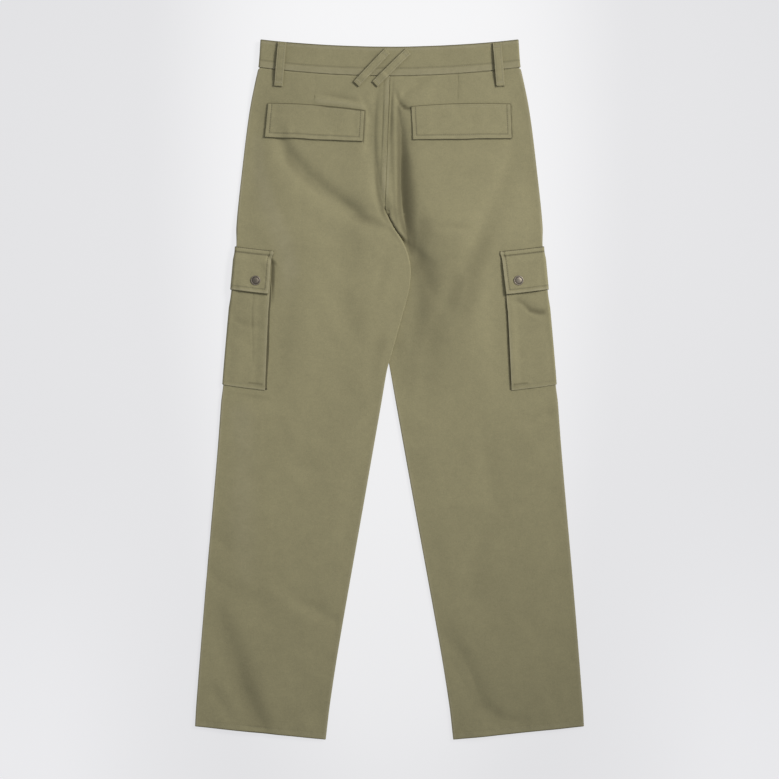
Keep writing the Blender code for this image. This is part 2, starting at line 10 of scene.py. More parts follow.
import bpy
import numpy as np
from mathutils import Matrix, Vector


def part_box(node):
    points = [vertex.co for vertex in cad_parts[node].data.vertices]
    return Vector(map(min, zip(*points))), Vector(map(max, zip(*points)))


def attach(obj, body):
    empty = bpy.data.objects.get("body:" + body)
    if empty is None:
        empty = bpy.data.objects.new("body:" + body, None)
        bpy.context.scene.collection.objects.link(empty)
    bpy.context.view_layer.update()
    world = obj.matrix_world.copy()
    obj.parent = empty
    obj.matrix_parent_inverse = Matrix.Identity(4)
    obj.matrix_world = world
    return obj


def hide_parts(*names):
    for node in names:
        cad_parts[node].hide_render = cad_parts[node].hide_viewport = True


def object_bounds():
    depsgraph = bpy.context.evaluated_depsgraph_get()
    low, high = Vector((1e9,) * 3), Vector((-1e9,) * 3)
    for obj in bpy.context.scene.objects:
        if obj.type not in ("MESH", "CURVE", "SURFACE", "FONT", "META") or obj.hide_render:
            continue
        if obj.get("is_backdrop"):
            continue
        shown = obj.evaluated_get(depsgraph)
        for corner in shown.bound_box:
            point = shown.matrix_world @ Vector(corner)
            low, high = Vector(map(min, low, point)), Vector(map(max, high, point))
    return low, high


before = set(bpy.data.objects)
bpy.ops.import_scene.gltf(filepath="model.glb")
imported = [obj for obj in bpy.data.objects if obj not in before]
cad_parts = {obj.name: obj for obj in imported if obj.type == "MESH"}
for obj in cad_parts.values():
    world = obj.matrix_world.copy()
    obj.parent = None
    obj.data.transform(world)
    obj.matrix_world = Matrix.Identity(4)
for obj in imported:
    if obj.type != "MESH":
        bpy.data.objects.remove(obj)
cad_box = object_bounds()

print("nodes:", len(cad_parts), "box:", [round(size, 4) for corner in cad_box for size in corner])

# %% [markdown]
# ## Table, light and camera
# Flat clothes are looked at from straight above, under one wide soft lamp to the right, beyond the
# waist, and pale walls all round. Slopes that face the left or the hems then turn a little darker,
# which draws every fold. The table is a light table: most of its brightness comes from within, so
# that the pants throw next to no shadow on it, and it fades towards the left and right sides.

# %% Table, light and camera
scene = bpy.context.scene
scene.view_settings.view_transform = "Standard"

world = bpy.data.worlds.new("pale walls")
world.use_nodes = True
world.node_tree.nodes["Background"].inputs["Color"].default_value = (0.93, 0.95, 1.0, 1.0)
world.node_tree.nodes["Background"].inputs["Strength"].default_value = 0.42
scene.world = world

bpy.ops.object.select_all(action="DESELECT")
LAMP_SPOT = Vector((1.50, 1.10, 1.50))
LAMP_AIM = Vector((-0.40, 0.0, 0.0))
bpy.ops.object.light_add(type="AREA", location=LAMP_SPOT)
lamp = bpy.context.object
lamp.name = "wide_soft_lamp"
lamp.rotation_euler = (LAMP_SPOT - LAMP_AIM).to_track_quat("Z", "Y").to_euler()
lamp.data.shape = "RECTANGLE"
lamp.data.size = 1.1
lamp.data.size_y = 0.6
lamp.data.spread = math.radians(55)
lamp.data.energy = 5.9
lamp.data.color = (1.0, 0.985, 0.955)

VIEW_HEIGHT = 2.763
bpy.ops.object.camera_add(location=(0.0, 0.0004, VIEW_HEIGHT), rotation=(0.0, 0.0, 0.0))
camera = bpy.context.object
camera.data.lens = 85.0
camera.data.sensor_width = 36.0
camera.data.clip_end = 60.0
scene.camera = camera

print("camera", VIEW_HEIGHT, "m above the table")

# %% [markdown]
# ## The cut
# Pants are cut from a paper pattern, and here the pattern is a few short tables: how far the side
# edge is from the centre line at each height, where the inner edge of each leg lies, and how much
# a row of threads sags towards the centre. A "drop" is a distance below the top of the side seams,
# and a "reach" is a distance in from the side edge. A smooth curve runs through each table.

# %% The cut
TOP = 0.525
CLOTH = 0.0010
FLAP_CLOTH = 0.0016
BAND_CLOTH = 0.0018
AIR = 0.0003
LEFT, RIGHT = -1, 1
SIDES = {"left": LEFT, "right": RIGHT}
MM = 0.001


def table(*rows):
    return np.array(rows, float).T


SIDE_EDGE = table(
    (0.000, 0.1935), (0.040, 0.1965), (0.061, 0.2010), (0.097, 0.2085), (0.133, 0.2140),
    (0.187, 0.2205), (0.259, 0.2283), (0.313, 0.2322), (0.385, 0.2388), (0.403, 0.2412),
    (0.493, 0.2492), (0.619, 0.2586), (0.835, 0.2774), (0.997, 0.2902), (1.030, 0.2921),
)
INNER_EDGE = {
    LEFT: table(
        (0.254, -0.0075), (0.280, 0.0063), (0.306, 0.0219), (0.332, 0.0305), (0.349, 0.0321),
        (0.376, 0.0294), (0.421, 0.0174), (0.473, 0.0030), (0.493, -0.0030), (0.547, -0.0124),
        (0.691, -0.0376), (0.907, -0.0754), (0.997, -0.0892), (1.050, -0.0955),
    ),
    RIGHT: table(
        (0.262, -0.0066), (0.285, -0.0130), (0.315, -0.0210), (0.349, -0.0240), (0.398, -0.0200),
        (0.451, -0.0080), (0.493, 0.0002), (0.547, 0.0098), (0.691, 0.0357), (0.907, 0.0749),
        (0.997, 0.0893), (1.050, 0.0954),
    ),
}
BAND_DEPTH = 0.0415
WAIST_CENTRE_FALL, BAND_CENTRE_FALL = 0.0113, 0.0132
# how far each row sags at the inner edge, and how much of that it does close to the side
ROW_FALL = table(
    (0.000, WAIST_CENTRE_FALL), (BAND_DEPTH, BAND_CENTRE_FALL), (0.310, 0.0150), (0.520, 0.0165),
    (0.760, 0.0185), (1.030, 0.0200),
)
ROW_BOW = table(
    (0.000, 2.0), (BAND_DEPTH, 2.0), (0.310, 2.4), (0.520, 2.4), (0.760, 1.4), (1.030, 1.0),
)
SEAT_SEAM_END = 0.248
SEAM_TOP_X, SEAM_END_X = 0.0009, -0.0066
HEM = 1.030


def read(rows, drop):
    """A table at any drop, on a smooth curve through its rows."""
    keys, values = rows
    drop = np.clip(drop, keys[0], keys[-1])
    last = len(keys) - 1
    low = np.clip(np.searchsorted(keys, drop, side="right") - 1, 0, last - 1)
    before = np.maximum(np.arange(last + 1) - 1, 0)
    after = np.minimum(np.arange(last + 1) + 1, last)
    slope = (values[after] - values[before]) / (keys[after] - keys[before])
    span = keys[low + 1] - keys[low]
    part = (drop - keys[low]) / span
    rise = part * part * (3 - 2 * part)
    pull = part * (1 - part) * span * ((1 - part) * slope[low] - part * slope[low + 1])
    return values[low] + (values[low + 1] - values[low]) * rise + pull


def smooth(value, start, end):
    part = np.clip((value - start) / (end - start), 0.0, 1.0)
    return part * part * (3 - 2 * part)


def plateau(value, start, end, fade):
    """1 from start to end, fading away over the length fade outside them."""
    return smooth(value, start - fade, start) * (1 - smooth(value, end, end + fade))


def near(value, line, spread):
    """1 on a line and 0 away from it."""
    return np.exp(-((value - line) / spread) ** 2)


def mix(first, second, share):
    return first + (second - first) * share


def half_width(drop):
    return read(SIDE_EDGE, drop)


def seam_x(drop):
    """The seat seam, which drifts to the wearer's left as it goes down."""
    share = np.clip((drop - BAND_DEPTH) / (SEAT_SEAM_END - BAND_DEPTH), 0.0, 1.0)
    return mix(SEAM_TOP_X, SEAM_END_X, share)


def inner_edge(side, drop):
    rows = INNER_EDGE[side]
    seam = seam_x(drop) + side * AIR / 2
    share = np.clip((drop - SEAT_SEAM_END) / (rows[0][0] - SEAT_SEAM_END), 0.0, 1.0)
    return np.where(drop < rows[0][0], mix(seam, rows[1][0], share), read(rows, drop))


def row_fall(row, share):
    return read(ROW_FALL, row) * (1 - (1 - share) ** read(ROW_BOW, row))


def leg_width(side, row):
    return half_width(row) - side * inner_edge(side, row + row_fall(row, 1.0))


print("hem width", round(float(leg_width(LEFT, HEM)), 4), "m, side seam", round(HEM, 3), "m")

# %% [markdown]
# ## Creases
# Cloth that has been worn, folded and laid out again keeps soft troughs and ridges. They could be
# simulated, but then they fall where the solver likes. Here each one is drawn as a line on the
# pattern: its points, how wide it is on each side of the line, and how deep. The numbers are
# millimetres. A little random unevenness goes over all of it.

# %% Creases
CREASES = {
    LEFT: [
        # long slanting trough from under the pocket flap to the crotch
        [(-168, 138, 12, 9, -1.4), (-154, 170, 16, 11, -2.9), (-123, 207, 18, 12, -2.9),
         (-85, 237, 18, 12, -2.7), (-52, 260, 16, 11, -2.9), (-28, 281, 12, 10, -0.6)],
        # the lip of the pocket above its flap, and the hollow above it
        [(-109, 92, 4, 4, 0.5), (-75, 95.5, 5, 4, 0.6), (-38, 102, 5, 3, 0.4)],
        [(-104, 81, 4, 4, -0.2), (-90, 83, 4, 5, -0.6), (-70, 87, 4, 5, -0.6), (-48, 92, 4, 4, -0.4)],
        # under the slanted loops and over the flap
        [(-52, 56, 5, 7, -0.3), (-72, 76, 6, 8, -0.8), (-92, 92, 5, 7, -0.4)],
        [(-40, 88, 5, 6, -0.4), (-30, 118, 5, 7, -0.9), (-33, 160, 5, 8, -0.7),
         (-38, 185, 5, 8, 0.0)],
        [(-196, 105, 7, 9, -0.2), (-205, 160, 8, 10, -0.3), (-202, 215, 8, 12, -0.1)],
        [(-77, 386, 14, 16, -0.3), (-58, 425, 14, 18, -0.9), (-44, 465, 12, 14, -0.2)],
        [(0, 300, 10, 9, -0.2), (-12, 352, 9, 9, -0.7), (-22, 398, 8, 8, -0.1)],
        # the puckers at the inner edge of the cargo flap
        [(-181, 326, 3, 3, -1.2), (-177, 336, 3, 4, -3.2), (-175, 350, 4, 6, -2.8),
         (-176, 378, 4, 6, -1.8), (-178, 398, 4, 6, -0.2)],
        # thigh beside the cargo pocket
        [(-168, 372, 8, 14, -0.5), (-164, 420, 9, 16, -0.8), (-170, 500, 8, 12, -0.2)],
        # knee and calf
        [(-152, 632, 16, 16, -0.4), (-118, 644, 18, 20, -1.2), (-82, 642, 14, 16, -0.3)],
        [(-259, 750, 12, 12, -0.9), (-243, 766, 10, 10, -0.2)],
        [(-269, 800, 16, 13, -0.8), (-240, 830, 18, 15, -0.7), (-214, 846, 14, 12, -0.1)],
        [(-205, 812, 16, 14, 0.5), (-165, 838, 16, 14, 0.9), (-125, 868, 16, 14, 0.5)],
        [(-152, 838, 14, 12, -0.5), (-112, 854, 14, 12, -1.2), (-82, 874, 10, 9, -0.5)],
        [(-264, 852, 20, 14, -0.7), (-248, 898, 24, 18, -1.4), (-231, 945, 26, 18, -2.3),
         (-216, 985, 26, 17, -2.9), (-198, 1019, 24, 15, -2.2), (-189, 1036, 20, 14, -1.4)],
        [(-262, 980, 11, 11, -0.7), (-246, 1006, 11, 11, -1.0), (-236, 1024, 9, 10, -0.5)],
        [(-130, 960, 16, 18, -0.4), (-112, 1010, 16, 18, -0.8)],
    ],
    RIGHT: [
        # a streak that the seat seam pulls below the waistband, and the fold from it to the flap
        [(2, 84, 1.6, 3, -0.5), (1, 105, 1.6, 3, -1.0), (-1, 145, 1.6, 3, -0.8),
         (-2, 165, 1.6, 3, -0.1)],
        [(8, 80, 3, 3.5, -0.4), (11.5, 88, 3, 3.5, -1.2), (16.5, 97, 3.5, 3.5, -1.6),
         (23, 101.5, 3.5, 3, -1.4), (31, 103, 3, 3, -0.6)],
        [(62, 56, 5, 6, -0.5), (43, 66, 5, 7, -1.8), (22, 82, 4, 6, -1.5), (14, 94, 4, 5, -0.1)],
        [(100, 62, 10, 10, -0.2), (72, 78, 8, 10, -0.6), (50, 92, 6, 8, -0.2)],
        # crotch shadow, fanning out over the thigh
        [(40, 262, 6, 14, -0.3), (38, 290, 6, 14, -1.0), (39, 326, 8, 18, -2.0),
         (62, 372, 10, 18, -1.6), (84, 404, 10, 14, -0.3)],
        [(73, 285, 6, 7, -0.3), (97, 283, 6, 7, -0.8), (121, 286, 5, 6, -0.3)],
        # long slanting shadow from the side to the crotch
        [(186, 150, 9, 12, -0.8), (177, 190, 12, 16, -1.3), (160, 238, 15, 20, -1.7),
         (134, 298, 16, 22, -2.0), (112, 350, 16, 22, -1.8), (84, 402, 16, 20, -1.4),
         (60, 450, 14, 16, -0.5)],
        [(50, 330, 9, 10, 0.0), (40, 385, 10, 12, -0.9), (30, 440, 10, 12, -0.6)],
        [(150, 330, 10, 12, -0.2), (156, 420, 12, 14, -0.8), (164, 505, 12, 14, -0.4)],
        # knee and calf
        [(236, 562, 11, 10, -1.0), (212, 572, 12, 12, -0.8), (192, 566, 10, 10, -0.1)],
        [(142, 590, 14, 16, -0.5), (149, 650, 16, 18, -1.2), (162, 712, 14, 15, -0.5)],
        [(142, 728, 18, 18, -0.4), (126, 790, 18, 20, -1.1), (119, 850, 14, 16, -0.4)],
        [(197, 835, 14, 14, -0.2), (204, 862, 14, 14, -0.5), (214, 890, 12, 12, -0.1)],
        [(80, 892, 14, 12, -0.5), (94, 907, 15, 12, -0.7), (106, 917, 14, 10, -0.3)],
        [(100, 905, 18, 12, -0.5), (111, 935, 20, 14, -1.5), (124, 968, 22, 15, -2.3),
         (139, 1000, 24, 14, -2.5), (165, 1020, 20, 11, -2.1), (198, 1023, 16, 10, -0.9)],
        [(238, 940, 12, 12, -0.3), (244, 985, 12, 12, -0.9), (256, 1018, 10, 10, -0.3)],
    ],
}
# the line where the left thigh starts to lie over the right one
FOLD = [
    (-18, 75, 8, 4, -0.4), (-22, 110, 10, 4, -1.0), (-23, 143, 11, 4, -1.2),
    (-22, 175, 11, 4, -1.3), (-19, 208, 10, 5, -1.5), (-14, 235, 10, 7, -1.6),
    (-8, 254, 9, 8, -1.6),
]
# the deep trough beside the seat seam: sharp at its bottom, with a long slope on the right
TROUGH = [
    (11, 98, 4, 5, -0.3), (14.5, 114, 4, 7, -1.4), (17.5, 137, 4, 9, -3.0),
    (17.5, 165, 4, 12, -4.6), (16.5, 195, 4, 14, -5.4), (16.5, 225, 4, 15, -5.8),
    (18.5, 248, 4, 15, -5.8), (22, 272, 4, 15, -5.2), (26, 295, 4.5, 17, -4.2),
    (30, 318, 6, 20, -3.0), (34, 346, 8, 24, -1.8), (42, 375, 10, 24, -0.5),
]


def crease(x, drop, points, roundness=2.0):
    """The height of one crease, in metres, at the points x and drop. Roundness is 2 for a soft
    bottom and 1 for a sharp one."""
    points = np.array(points, float) * MM
    nearest = np.full(np.shape(x), np.inf)
    height = np.zeros(np.shape(x))
    for start, end in zip(points, points[1:]):
        line = end[:2] - start[:2]
        share = ((x - start[0]) * line[0] + (drop - start[1]) * line[1]) / (line @ line)
        share = np.clip(share, 0.0, 1.0)
        across = x - start[0] - share * line[0]
        along = drop - start[1] - share * line[1]
        distance = np.hypot(across, along) + 1e-9
        leftness = (line[0] * along - line[1] * across) / (np.hypot(*line) * distance)
        left, right, depth = (mix(start[n], end[n], share) for n in (2, 3, 4))
        spread = mix(right, left, (1 + leftness) / 2)
        here = depth * np.exp(-(distance / spread) ** roundness)
        height = np.where(distance < nearest, here, height)
        nearest = np.minimum(nearest, distance)
    return height


def unevenness(x, y, size, seed):
    """Soft random hills and hollows, mostly from -1 to 1 and about size apart."""
    total = 0.0
    for turn, layer in ((0.4, 0), (1.9, 1)):
        hills = np.random.default_rng(seed + layer).uniform(-1, 1, (64, 64))
        across = (x * math.cos(turn) + y * math.sin(turn)) / size + 200.5
        along = (y * math.cos(turn) - x * math.sin(turn)) / size + 300.5
        col, row = np.floor(across).astype(int), np.floor(along).astype(int)
        a, b = across - col, along - row
        a, b = (v * v * v * (v * (6 * v - 15) + 10) for v in (a, b))
        corner = [[hills[(row + j) % 64, (col + i) % 64] for i in (0, 1)] for j in (0, 1)]
        total = total + mix(mix(*corner[0], a), mix(*corner[1], a), b)
    return total * 0.75


print("creases:", sum(len(rows) for rows in CREASES.values()))

# %% [markdown]
# ## How high the cloth lies
# Each leg is a flattened tube: the front panel lies on the table, the back panel lies on it with
# a little air between, and the two meet in a roll at each edge. These functions give the height of
# both panels anywhere: what lies underneath, the air, the swell of the seat, the crossing of the
# left thigh over the right one, and the creases.

# %% Heights
FLAP_TOP, FLAP_BOTTOM = 0.310, 0.375
POCKET_TOP, POCKET_BOTTOM = 0.330, 0.517
POCKET_FRONT = 0.100
WAIST_LIFT = 0.0025
CROSSING_LIFT = 0.0031
# what lies under the front of a leg: the pocket's front, and the flap with room for its snap
POCKET_STACK = CLOTH + AIR
SNAP_ROOM = 0.0019
FLAP_STACK = SNAP_ROOM + FLAP_CLOTH + AIR
THINNEST_AIR = 0.0004
# where the panels' upper ends are tucked into the waistband: heights, and the drop of the end
TUCK_FRONT, TUCK_BACK, TUCK_END = 0.00495, 0.00605, 0.0413
CREASE_DEPTH = 1.6


def crossing_lift(x, drop):
    along = smooth(drop, 0.192, 0.244) * (1 - smooth(drop, 0.500, 0.600))
    return CROSSING_LIFT * smooth(x, -0.080, -0.030) * along


def under_leg(side, x, reach, drop, row, fade=0.026):
    """Height of the lowest face of a leg, which fades away beside what lies under it. The front
    panel bends closely over the pocket's front half, and the back panel spans it widely."""
    front = POCKET_FRONT + 0.004
    over_flap = plateau(row, FLAP_TOP, FLAP_BOTTOM, fade)
    over_flap = over_flap * (1 - smooth(reach, front, POCKET_FRONT + 1.4 * fade))
    over_pocket = plateau(row, FLAP_TOP, POCKET_BOTTOM, 1.4 * fade)
    over_pocket = over_pocket * (1 - smooth(reach, front, POCKET_FRONT + 1.6 * fade))
    height = WAIST_LIFT * (1 - smooth(row, 0.050, 0.130))
    height = height + (FLAP_STACK * over_flap + POCKET_STACK) * over_pocket
    return height + crossing_lift(x, drop) if side == LEFT else height


def waist_swell(x):
    """The back of the waist stands a little off the front, most in the middle."""
    return 0.0013 * (1 - np.minimum(np.abs(x) / 0.19, 1.0) ** 2) + 0.0004 * unevenness(x, x, 0.05, 5)


def air(side, x, reach, width, drop, row):
    """Air between the front panel and the back panel."""
    inner = width - reach
    belly = smooth(reach, 0.006, 0.055) * smooth(inner, 0.004, 0.045)
    cargo = plateau(row, FLAP_TOP, POCKET_BOTTOM, 0.040) * (1 - smooth(reach, 0.070, 0.120))
    seat = plateau(drop, 0.060, 0.230, 0.130) * smooth(reach, 0.012, 0.060)
    waist = 1 - smooth(row, BAND_DEPTH, 0.110)
    height = mix(0.0018 + 0.0013 * belly, 0.0010, cargo)
    height = mix(height, 0.0034 + 0.0004 * belly, seat)
    height = mix(height, 0.0035 + waist_swell(x), waist)
    height = height + 0.0030 * plateau(drop, 0.100, 0.262, 0.090) * smooth(reach, 0.012, 0.085)
    swell = 0.0042 * plateau(drop, 0.130, 0.270, 0.085) * near(x, 0.030, 0.070)
    if side == LEFT:
        swell = swell * mix(1.0, smooth(inner, 0.0, 0.060), smooth(drop, 0.248, 0.275))
    height = height + swell
    if side == RIGHT:
        height = height + 0.0060 * plateau(drop, 0.320, 0.440, 0.120) * near(x, 0.105, 0.055)
    mouth = 0.0026 + 0.0022 * belly * (1 + 0.5 * np.sin(46 * x + 1.3 * side))
    height = mix(height, mouth, smooth(row, 0.900, 1.010))
    calm = (1 - 0.7 * cargo) * smooth(reach, 0.0, 0.030) * (1 - 0.6 * waist)
    height = height + calm * (0.00050 * unevenness(x, drop, 0.055, 11)
                              + 0.00022 * unevenness(x, drop, 0.021, 23))
    pressed = sum(crease(x, drop, points) for points in [*CREASES[side], FOLD])
    if side == RIGHT:
        pressed = pressed + crease(x, drop, TROUGH, roundness=1.25)
    height = height + CREASE_DEPTH * pressed * mix(1.0, 0.35, cargo)
    if side == LEFT:
        felled = plateau(x - seam_x(drop), -0.0068, 0.01, 0.0012) * (1 - smooth(drop, 0.205, 0.232))
        height = height + 0.0006 * felled * smooth(drop, 0.04, 0.05)
    else:
        beside = (1 - smooth(x, 0.000, 0.022)) * (1 - smooth(drop, 0.242, 0.270))
        height = height + crossing_lift(x, drop) * beside
        cover = smooth(drop, 0.246, 0.262) * (1 - smooth(drop, 0.490, 0.560))
        edge = inner_edge(LEFT, np.clip(drop, 0.250, 0.493))
        lower = smooth(drop, 0.285, 0.345)
        last = mix(0.0017, 0.045, lower)
        cover = cover * (1 - smooth(x - edge, mix(-0.0014, 0.004, lower), last))
        height = mix(height, 0.0005, cover)
    return np.maximum(height, THINNEST_AIR)


def levels(side, row, reach, width):
    """Heights of the middle of the front panel's cloth and of the back panel's."""
    share = np.clip(reach / width, 0.0, 1.0)
    x = side * (half_width(row) - reach)
    drop = row + row_fall(row, share)
    lowest = under_leg(side, x, reach, drop, row)
    spanned = under_leg(side, x, reach, drop, row, 0.085)
    high = spanned + 1.5 * CLOTH + air(side, x, reach, width, drop, row)
    high = np.maximum(high, lowest + 1.5 * CLOTH + THINNEST_AIR)
    arches = np.maximum(0.0009 * unevenness(x, drop, 0.040, 37), 0.0)
    arches = arches * smooth(reach, 0.01, 0.05) * smooth(width - reach, 0.01, 0.04)
    low = lowest + CLOTH / 2 + arches
    low = np.minimum(low, high - CLOTH - AIR)
    tuck = 1 - smooth(row, TUCK_END, TUCK_END + 0.0029)
    low = mix(low, TUCK_FRONT, tuck)
    high = mix(high, TUCK_BACK + waist_swell(x), tuck)
    return low, high


# %% [markdown]
# ## Round the edge of a leg
# The cargo pockets and flaps wrap round the side seam, so their place is given by a "key": the
# length of cloth from the side edge, negative over the back and positive under the front. The roll
# at the edge is a half circle, and a piece that lies on another one is moved out from it.

# %% Round the edge of a leg
# the roll is as thick as the leg is at this reach, and the cloth is flat this far in from the roll
ROLL_PROBE = 0.006
FLATTENS = 0.014


def edge_inset(row):
    """How far the leg's own edge lies inside the outline, under the pocket, flap or waistband."""
    pocket = POCKET_STACK * plateau(row, FLAP_TOP, POCKET_BOTTOM, 0.030)
    flap = 0.0008 * plateau(row, FLAP_TOP, FLAP_BOTTOM, 0.030)
    return pocket + flap + 0.0022 * (1 - smooth(row, TUCK_END, TUCK_END + 0.0049))


def side_roll(side, row):
    """Middle height, radius and centre of the roll at the side edge."""
    low, high = levels(side, row, np.full(np.shape(row), ROLL_PROBE), leg_width(side, row))
    radius = (high - low) / 2
    return (high + low) / 2, radius, edge_inset(row) + radius + CLOTH / 2


def place(side, row, reach, height):
    share = np.clip(reach / leg_width(side, row), 0.0, 1.0)
    drop = row + row_fall(row, share)
    x = side * (half_width(row) - reach)
    return np.stack(np.broadcast_arrays(x, TOP - drop, height), -1)


def key_at(side, row, reach):
    """The key of a point on the flat part, from its reach."""
    _, radius, centre = side_roll(side, row)
    return reach - centre + radius * math.pi / 2


def wrapped(side, row, key, offset=0.0):
    """Reach and height of cloth at a key, moved out by an offset."""
    middle, radius, centre = side_roll(side, row)
    face = np.where(key <= 0, 1.0, -1.0)
    angle = np.clip(np.abs(key) / radius, 0.0, math.pi / 2)
    past = np.maximum(np.abs(key) - radius * math.pi / 2, 0.0)
    low, high = levels(side, row, centre + past, leg_width(side, row))
    flat = mix(middle + face * radius, np.where(face > 0, high, low), smooth(past, 0.0, FLATTENS))
    round_height = middle + face * (radius + offset) * np.sin(angle)
    height = np.where(past > 0, flat + face * offset, round_height)
    reach = np.where(past > 0, centre + past, centre - (radius + offset) * np.cos(angle))
    return reach, height


# %% [markdown]
# ## Twill
# Cotton twill has fine ribs that climb to the right, here 0.8 mm apart, in a matt olive with
# darker and lighter patches from dyeing and washing. The ribs could be modelled, but no mesh is
# fine enough, so the material makes them from the cut of each piece: its UV map holds metres of
# flat cloth, and the ribs turn with the cloth. Edges and seams are rubbed a little lighter, and a
# value painted on each mesh also lays painted shade and painted light on the cloth.

# %% A helper for shader expressions


class Wire:
    """A socket that can be used in an expression; each operator adds its Math node."""

    def __init__(self, finish, socket):
        self.finish = finish
        self.socket = socket

    def math(self, operation, *values):
        return self.finish.node("ShaderNodeMath", {"operation": operation}, dict(enumerate(values)))

    def __add__(self, other):
        return self.math("ADD", self, other)

    def __sub__(self, other):
        return self.math("SUBTRACT", self, other)

    def __rsub__(self, other):
        return self.math("SUBTRACT", other, self)

    def __mul__(self, other):
        return self.math("MULTIPLY", self, other)

    __radd__ = __add__
    __rmul__ = __mul__

    def wave(self):
        return self.math("SINE", self)

    def ramp(self, start, end):
        """0 up to start and 1 from end on."""
        inputs = {"Value": self, "From Min": start, "From Max": end}
        return self.finish.node("ShaderNodeMapRange", {"interpolation_type": "SMOOTHSTEP"}, inputs)


class Finish:
    """A material that is built from expressions."""

    def __init__(self, name, **constants):
        self.material = bpy.data.materials.new(name)
        self.material.use_nodes = True
        self.tree = self.material.node_tree
        self.shader = self.tree.nodes["Principled BSDF"]
        for socket, value in constants.items():
            self.shader.inputs[socket.replace("_", " ")].default_value = value

    def node(self, kind, settings, values, out=0):
        node = self.tree.nodes.new(kind)
        for key, value in settings.items():
            setattr(node, key, value)
        for key, value in values.items():
            self.feed(node.inputs[key], value)
        return Wire(self, node.outputs[out])

    def feed(self, socket, value):
        if isinstance(value, Wire):
            self.tree.links.new(value.socket, socket)
        else:
            socket.default_value = value

    def noise(self, place, scale, detail=2.0, roughness=0.5):
        values = {"Vector": place, "Scale": scale, "Detail": detail, "Roughness": roughness}
        return self.node("ShaderNodeTexNoise", {}, values)

    def scaled(self, colour, factor):
        """A colour made lighter or darker by a factor."""
        settings = {"operation": "SCALE"}
        return self.node("ShaderNodeVectorMath", settings, {0: colour[:3], "Scale": factor})

    def mixed(self, share, first, second):
        values = {0: share, 6: first, 7: second}
        return self.node("ShaderNodeMix", {"data_type": "RGBA"}, values, out=2)

    def bump(self, height):
        """A bump whose height is in metres."""
        values = {"Strength": 1.0, "Distance": 1.0, "Height": height}
        self.feed(self.shader.inputs["Normal"], self.node("ShaderNodeBump", {}, values))

    def surface(self, tone, roughness):
        self.feed(self.shader.inputs["Base Color"], tone)
        self.feed(self.shader.inputs["Roughness"], roughness)

    def place(self):
        return self.node("ShaderNodeTexCoord", {}, {}, out="Object")

    def split(self, place):
        """The X and the Y of a place."""
        x = self.node("ShaderNodeSeparateXYZ", {}, {0: place})
        return x, Wire(self, x.socket.node.outputs["Y"])

    def worn(self):
        """The value painted on a mesh: wear and painted light above 0, painted shade below 0."""
        return self.node("ShaderNodeAttribute", {"attribute_name": "worn"}, {}, out="Fac")


# %% Table
bpy.ops.object.select_all(action="DESELECT")
bpy.ops.mesh.primitive_plane_add(size=30.0, location=(0.0, 0.0, -0.0006))
bpy.ops.object.transform_apply(location=True, rotation=False, scale=False)
table_top = bpy.context.object
table_top.name = "table"
table_glow = Finish("table glow", Base_Color=(0.120, 0.119, 0.118, 1.0), Roughness=0.9,
               Specular_IOR_Level=0.1, Emission_Strength=1.0)
across, along = table_glow.split(table_glow.place())
along = along - 0.45
fading = (across * across * 7.0 + along * along * 0.6).ramp(0.0, 1.0)
glow = table_glow.mixed(fading, (0.808, 0.808, 0.820, 1.0), (0.676, 0.676, 0.692, 1.0))
# painted light: the glow is lighter in the lower corners; painted shade: dimmer between the legs
lower_corner = (0.0 - along).ramp(0.50, 1.05) * (across * across * 4.0).ramp(0.1, 1.1)
glow = table_glow.mixed(lower_corner, glow, (0.745, 0.745, 0.764, 1.0))
below_seat = along + 0.60
middle = 1.0 - (across * across * 40.0 + below_seat * below_seat * 6.0).ramp(0.0, 1.0)
glow = table_glow.mixed(middle * 0.35, glow, (0.680, 0.680, 0.690, 1.0))
table_glow.feed(table_glow.shader.inputs["Emission Color"], glow)
table_top.data.materials.append(table_glow.material)
table_top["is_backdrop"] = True
print("table glow:", len(table_glow.tree.nodes), "nodes")

# %% Twill
RIB, YARN = 0.00080, 0.0011
RIB_TURN = math.radians(28)
OLIVE = (0.276, 0.250, 0.1405)
# the pale tone of rubbed cloth and of painted light, and the dark tone of painted shade
WEAR_AND_LIGHT_TONE = (0.350, 0.318, 0.215)
SHADE_TONE = (0.060, 0.052, 0.026)


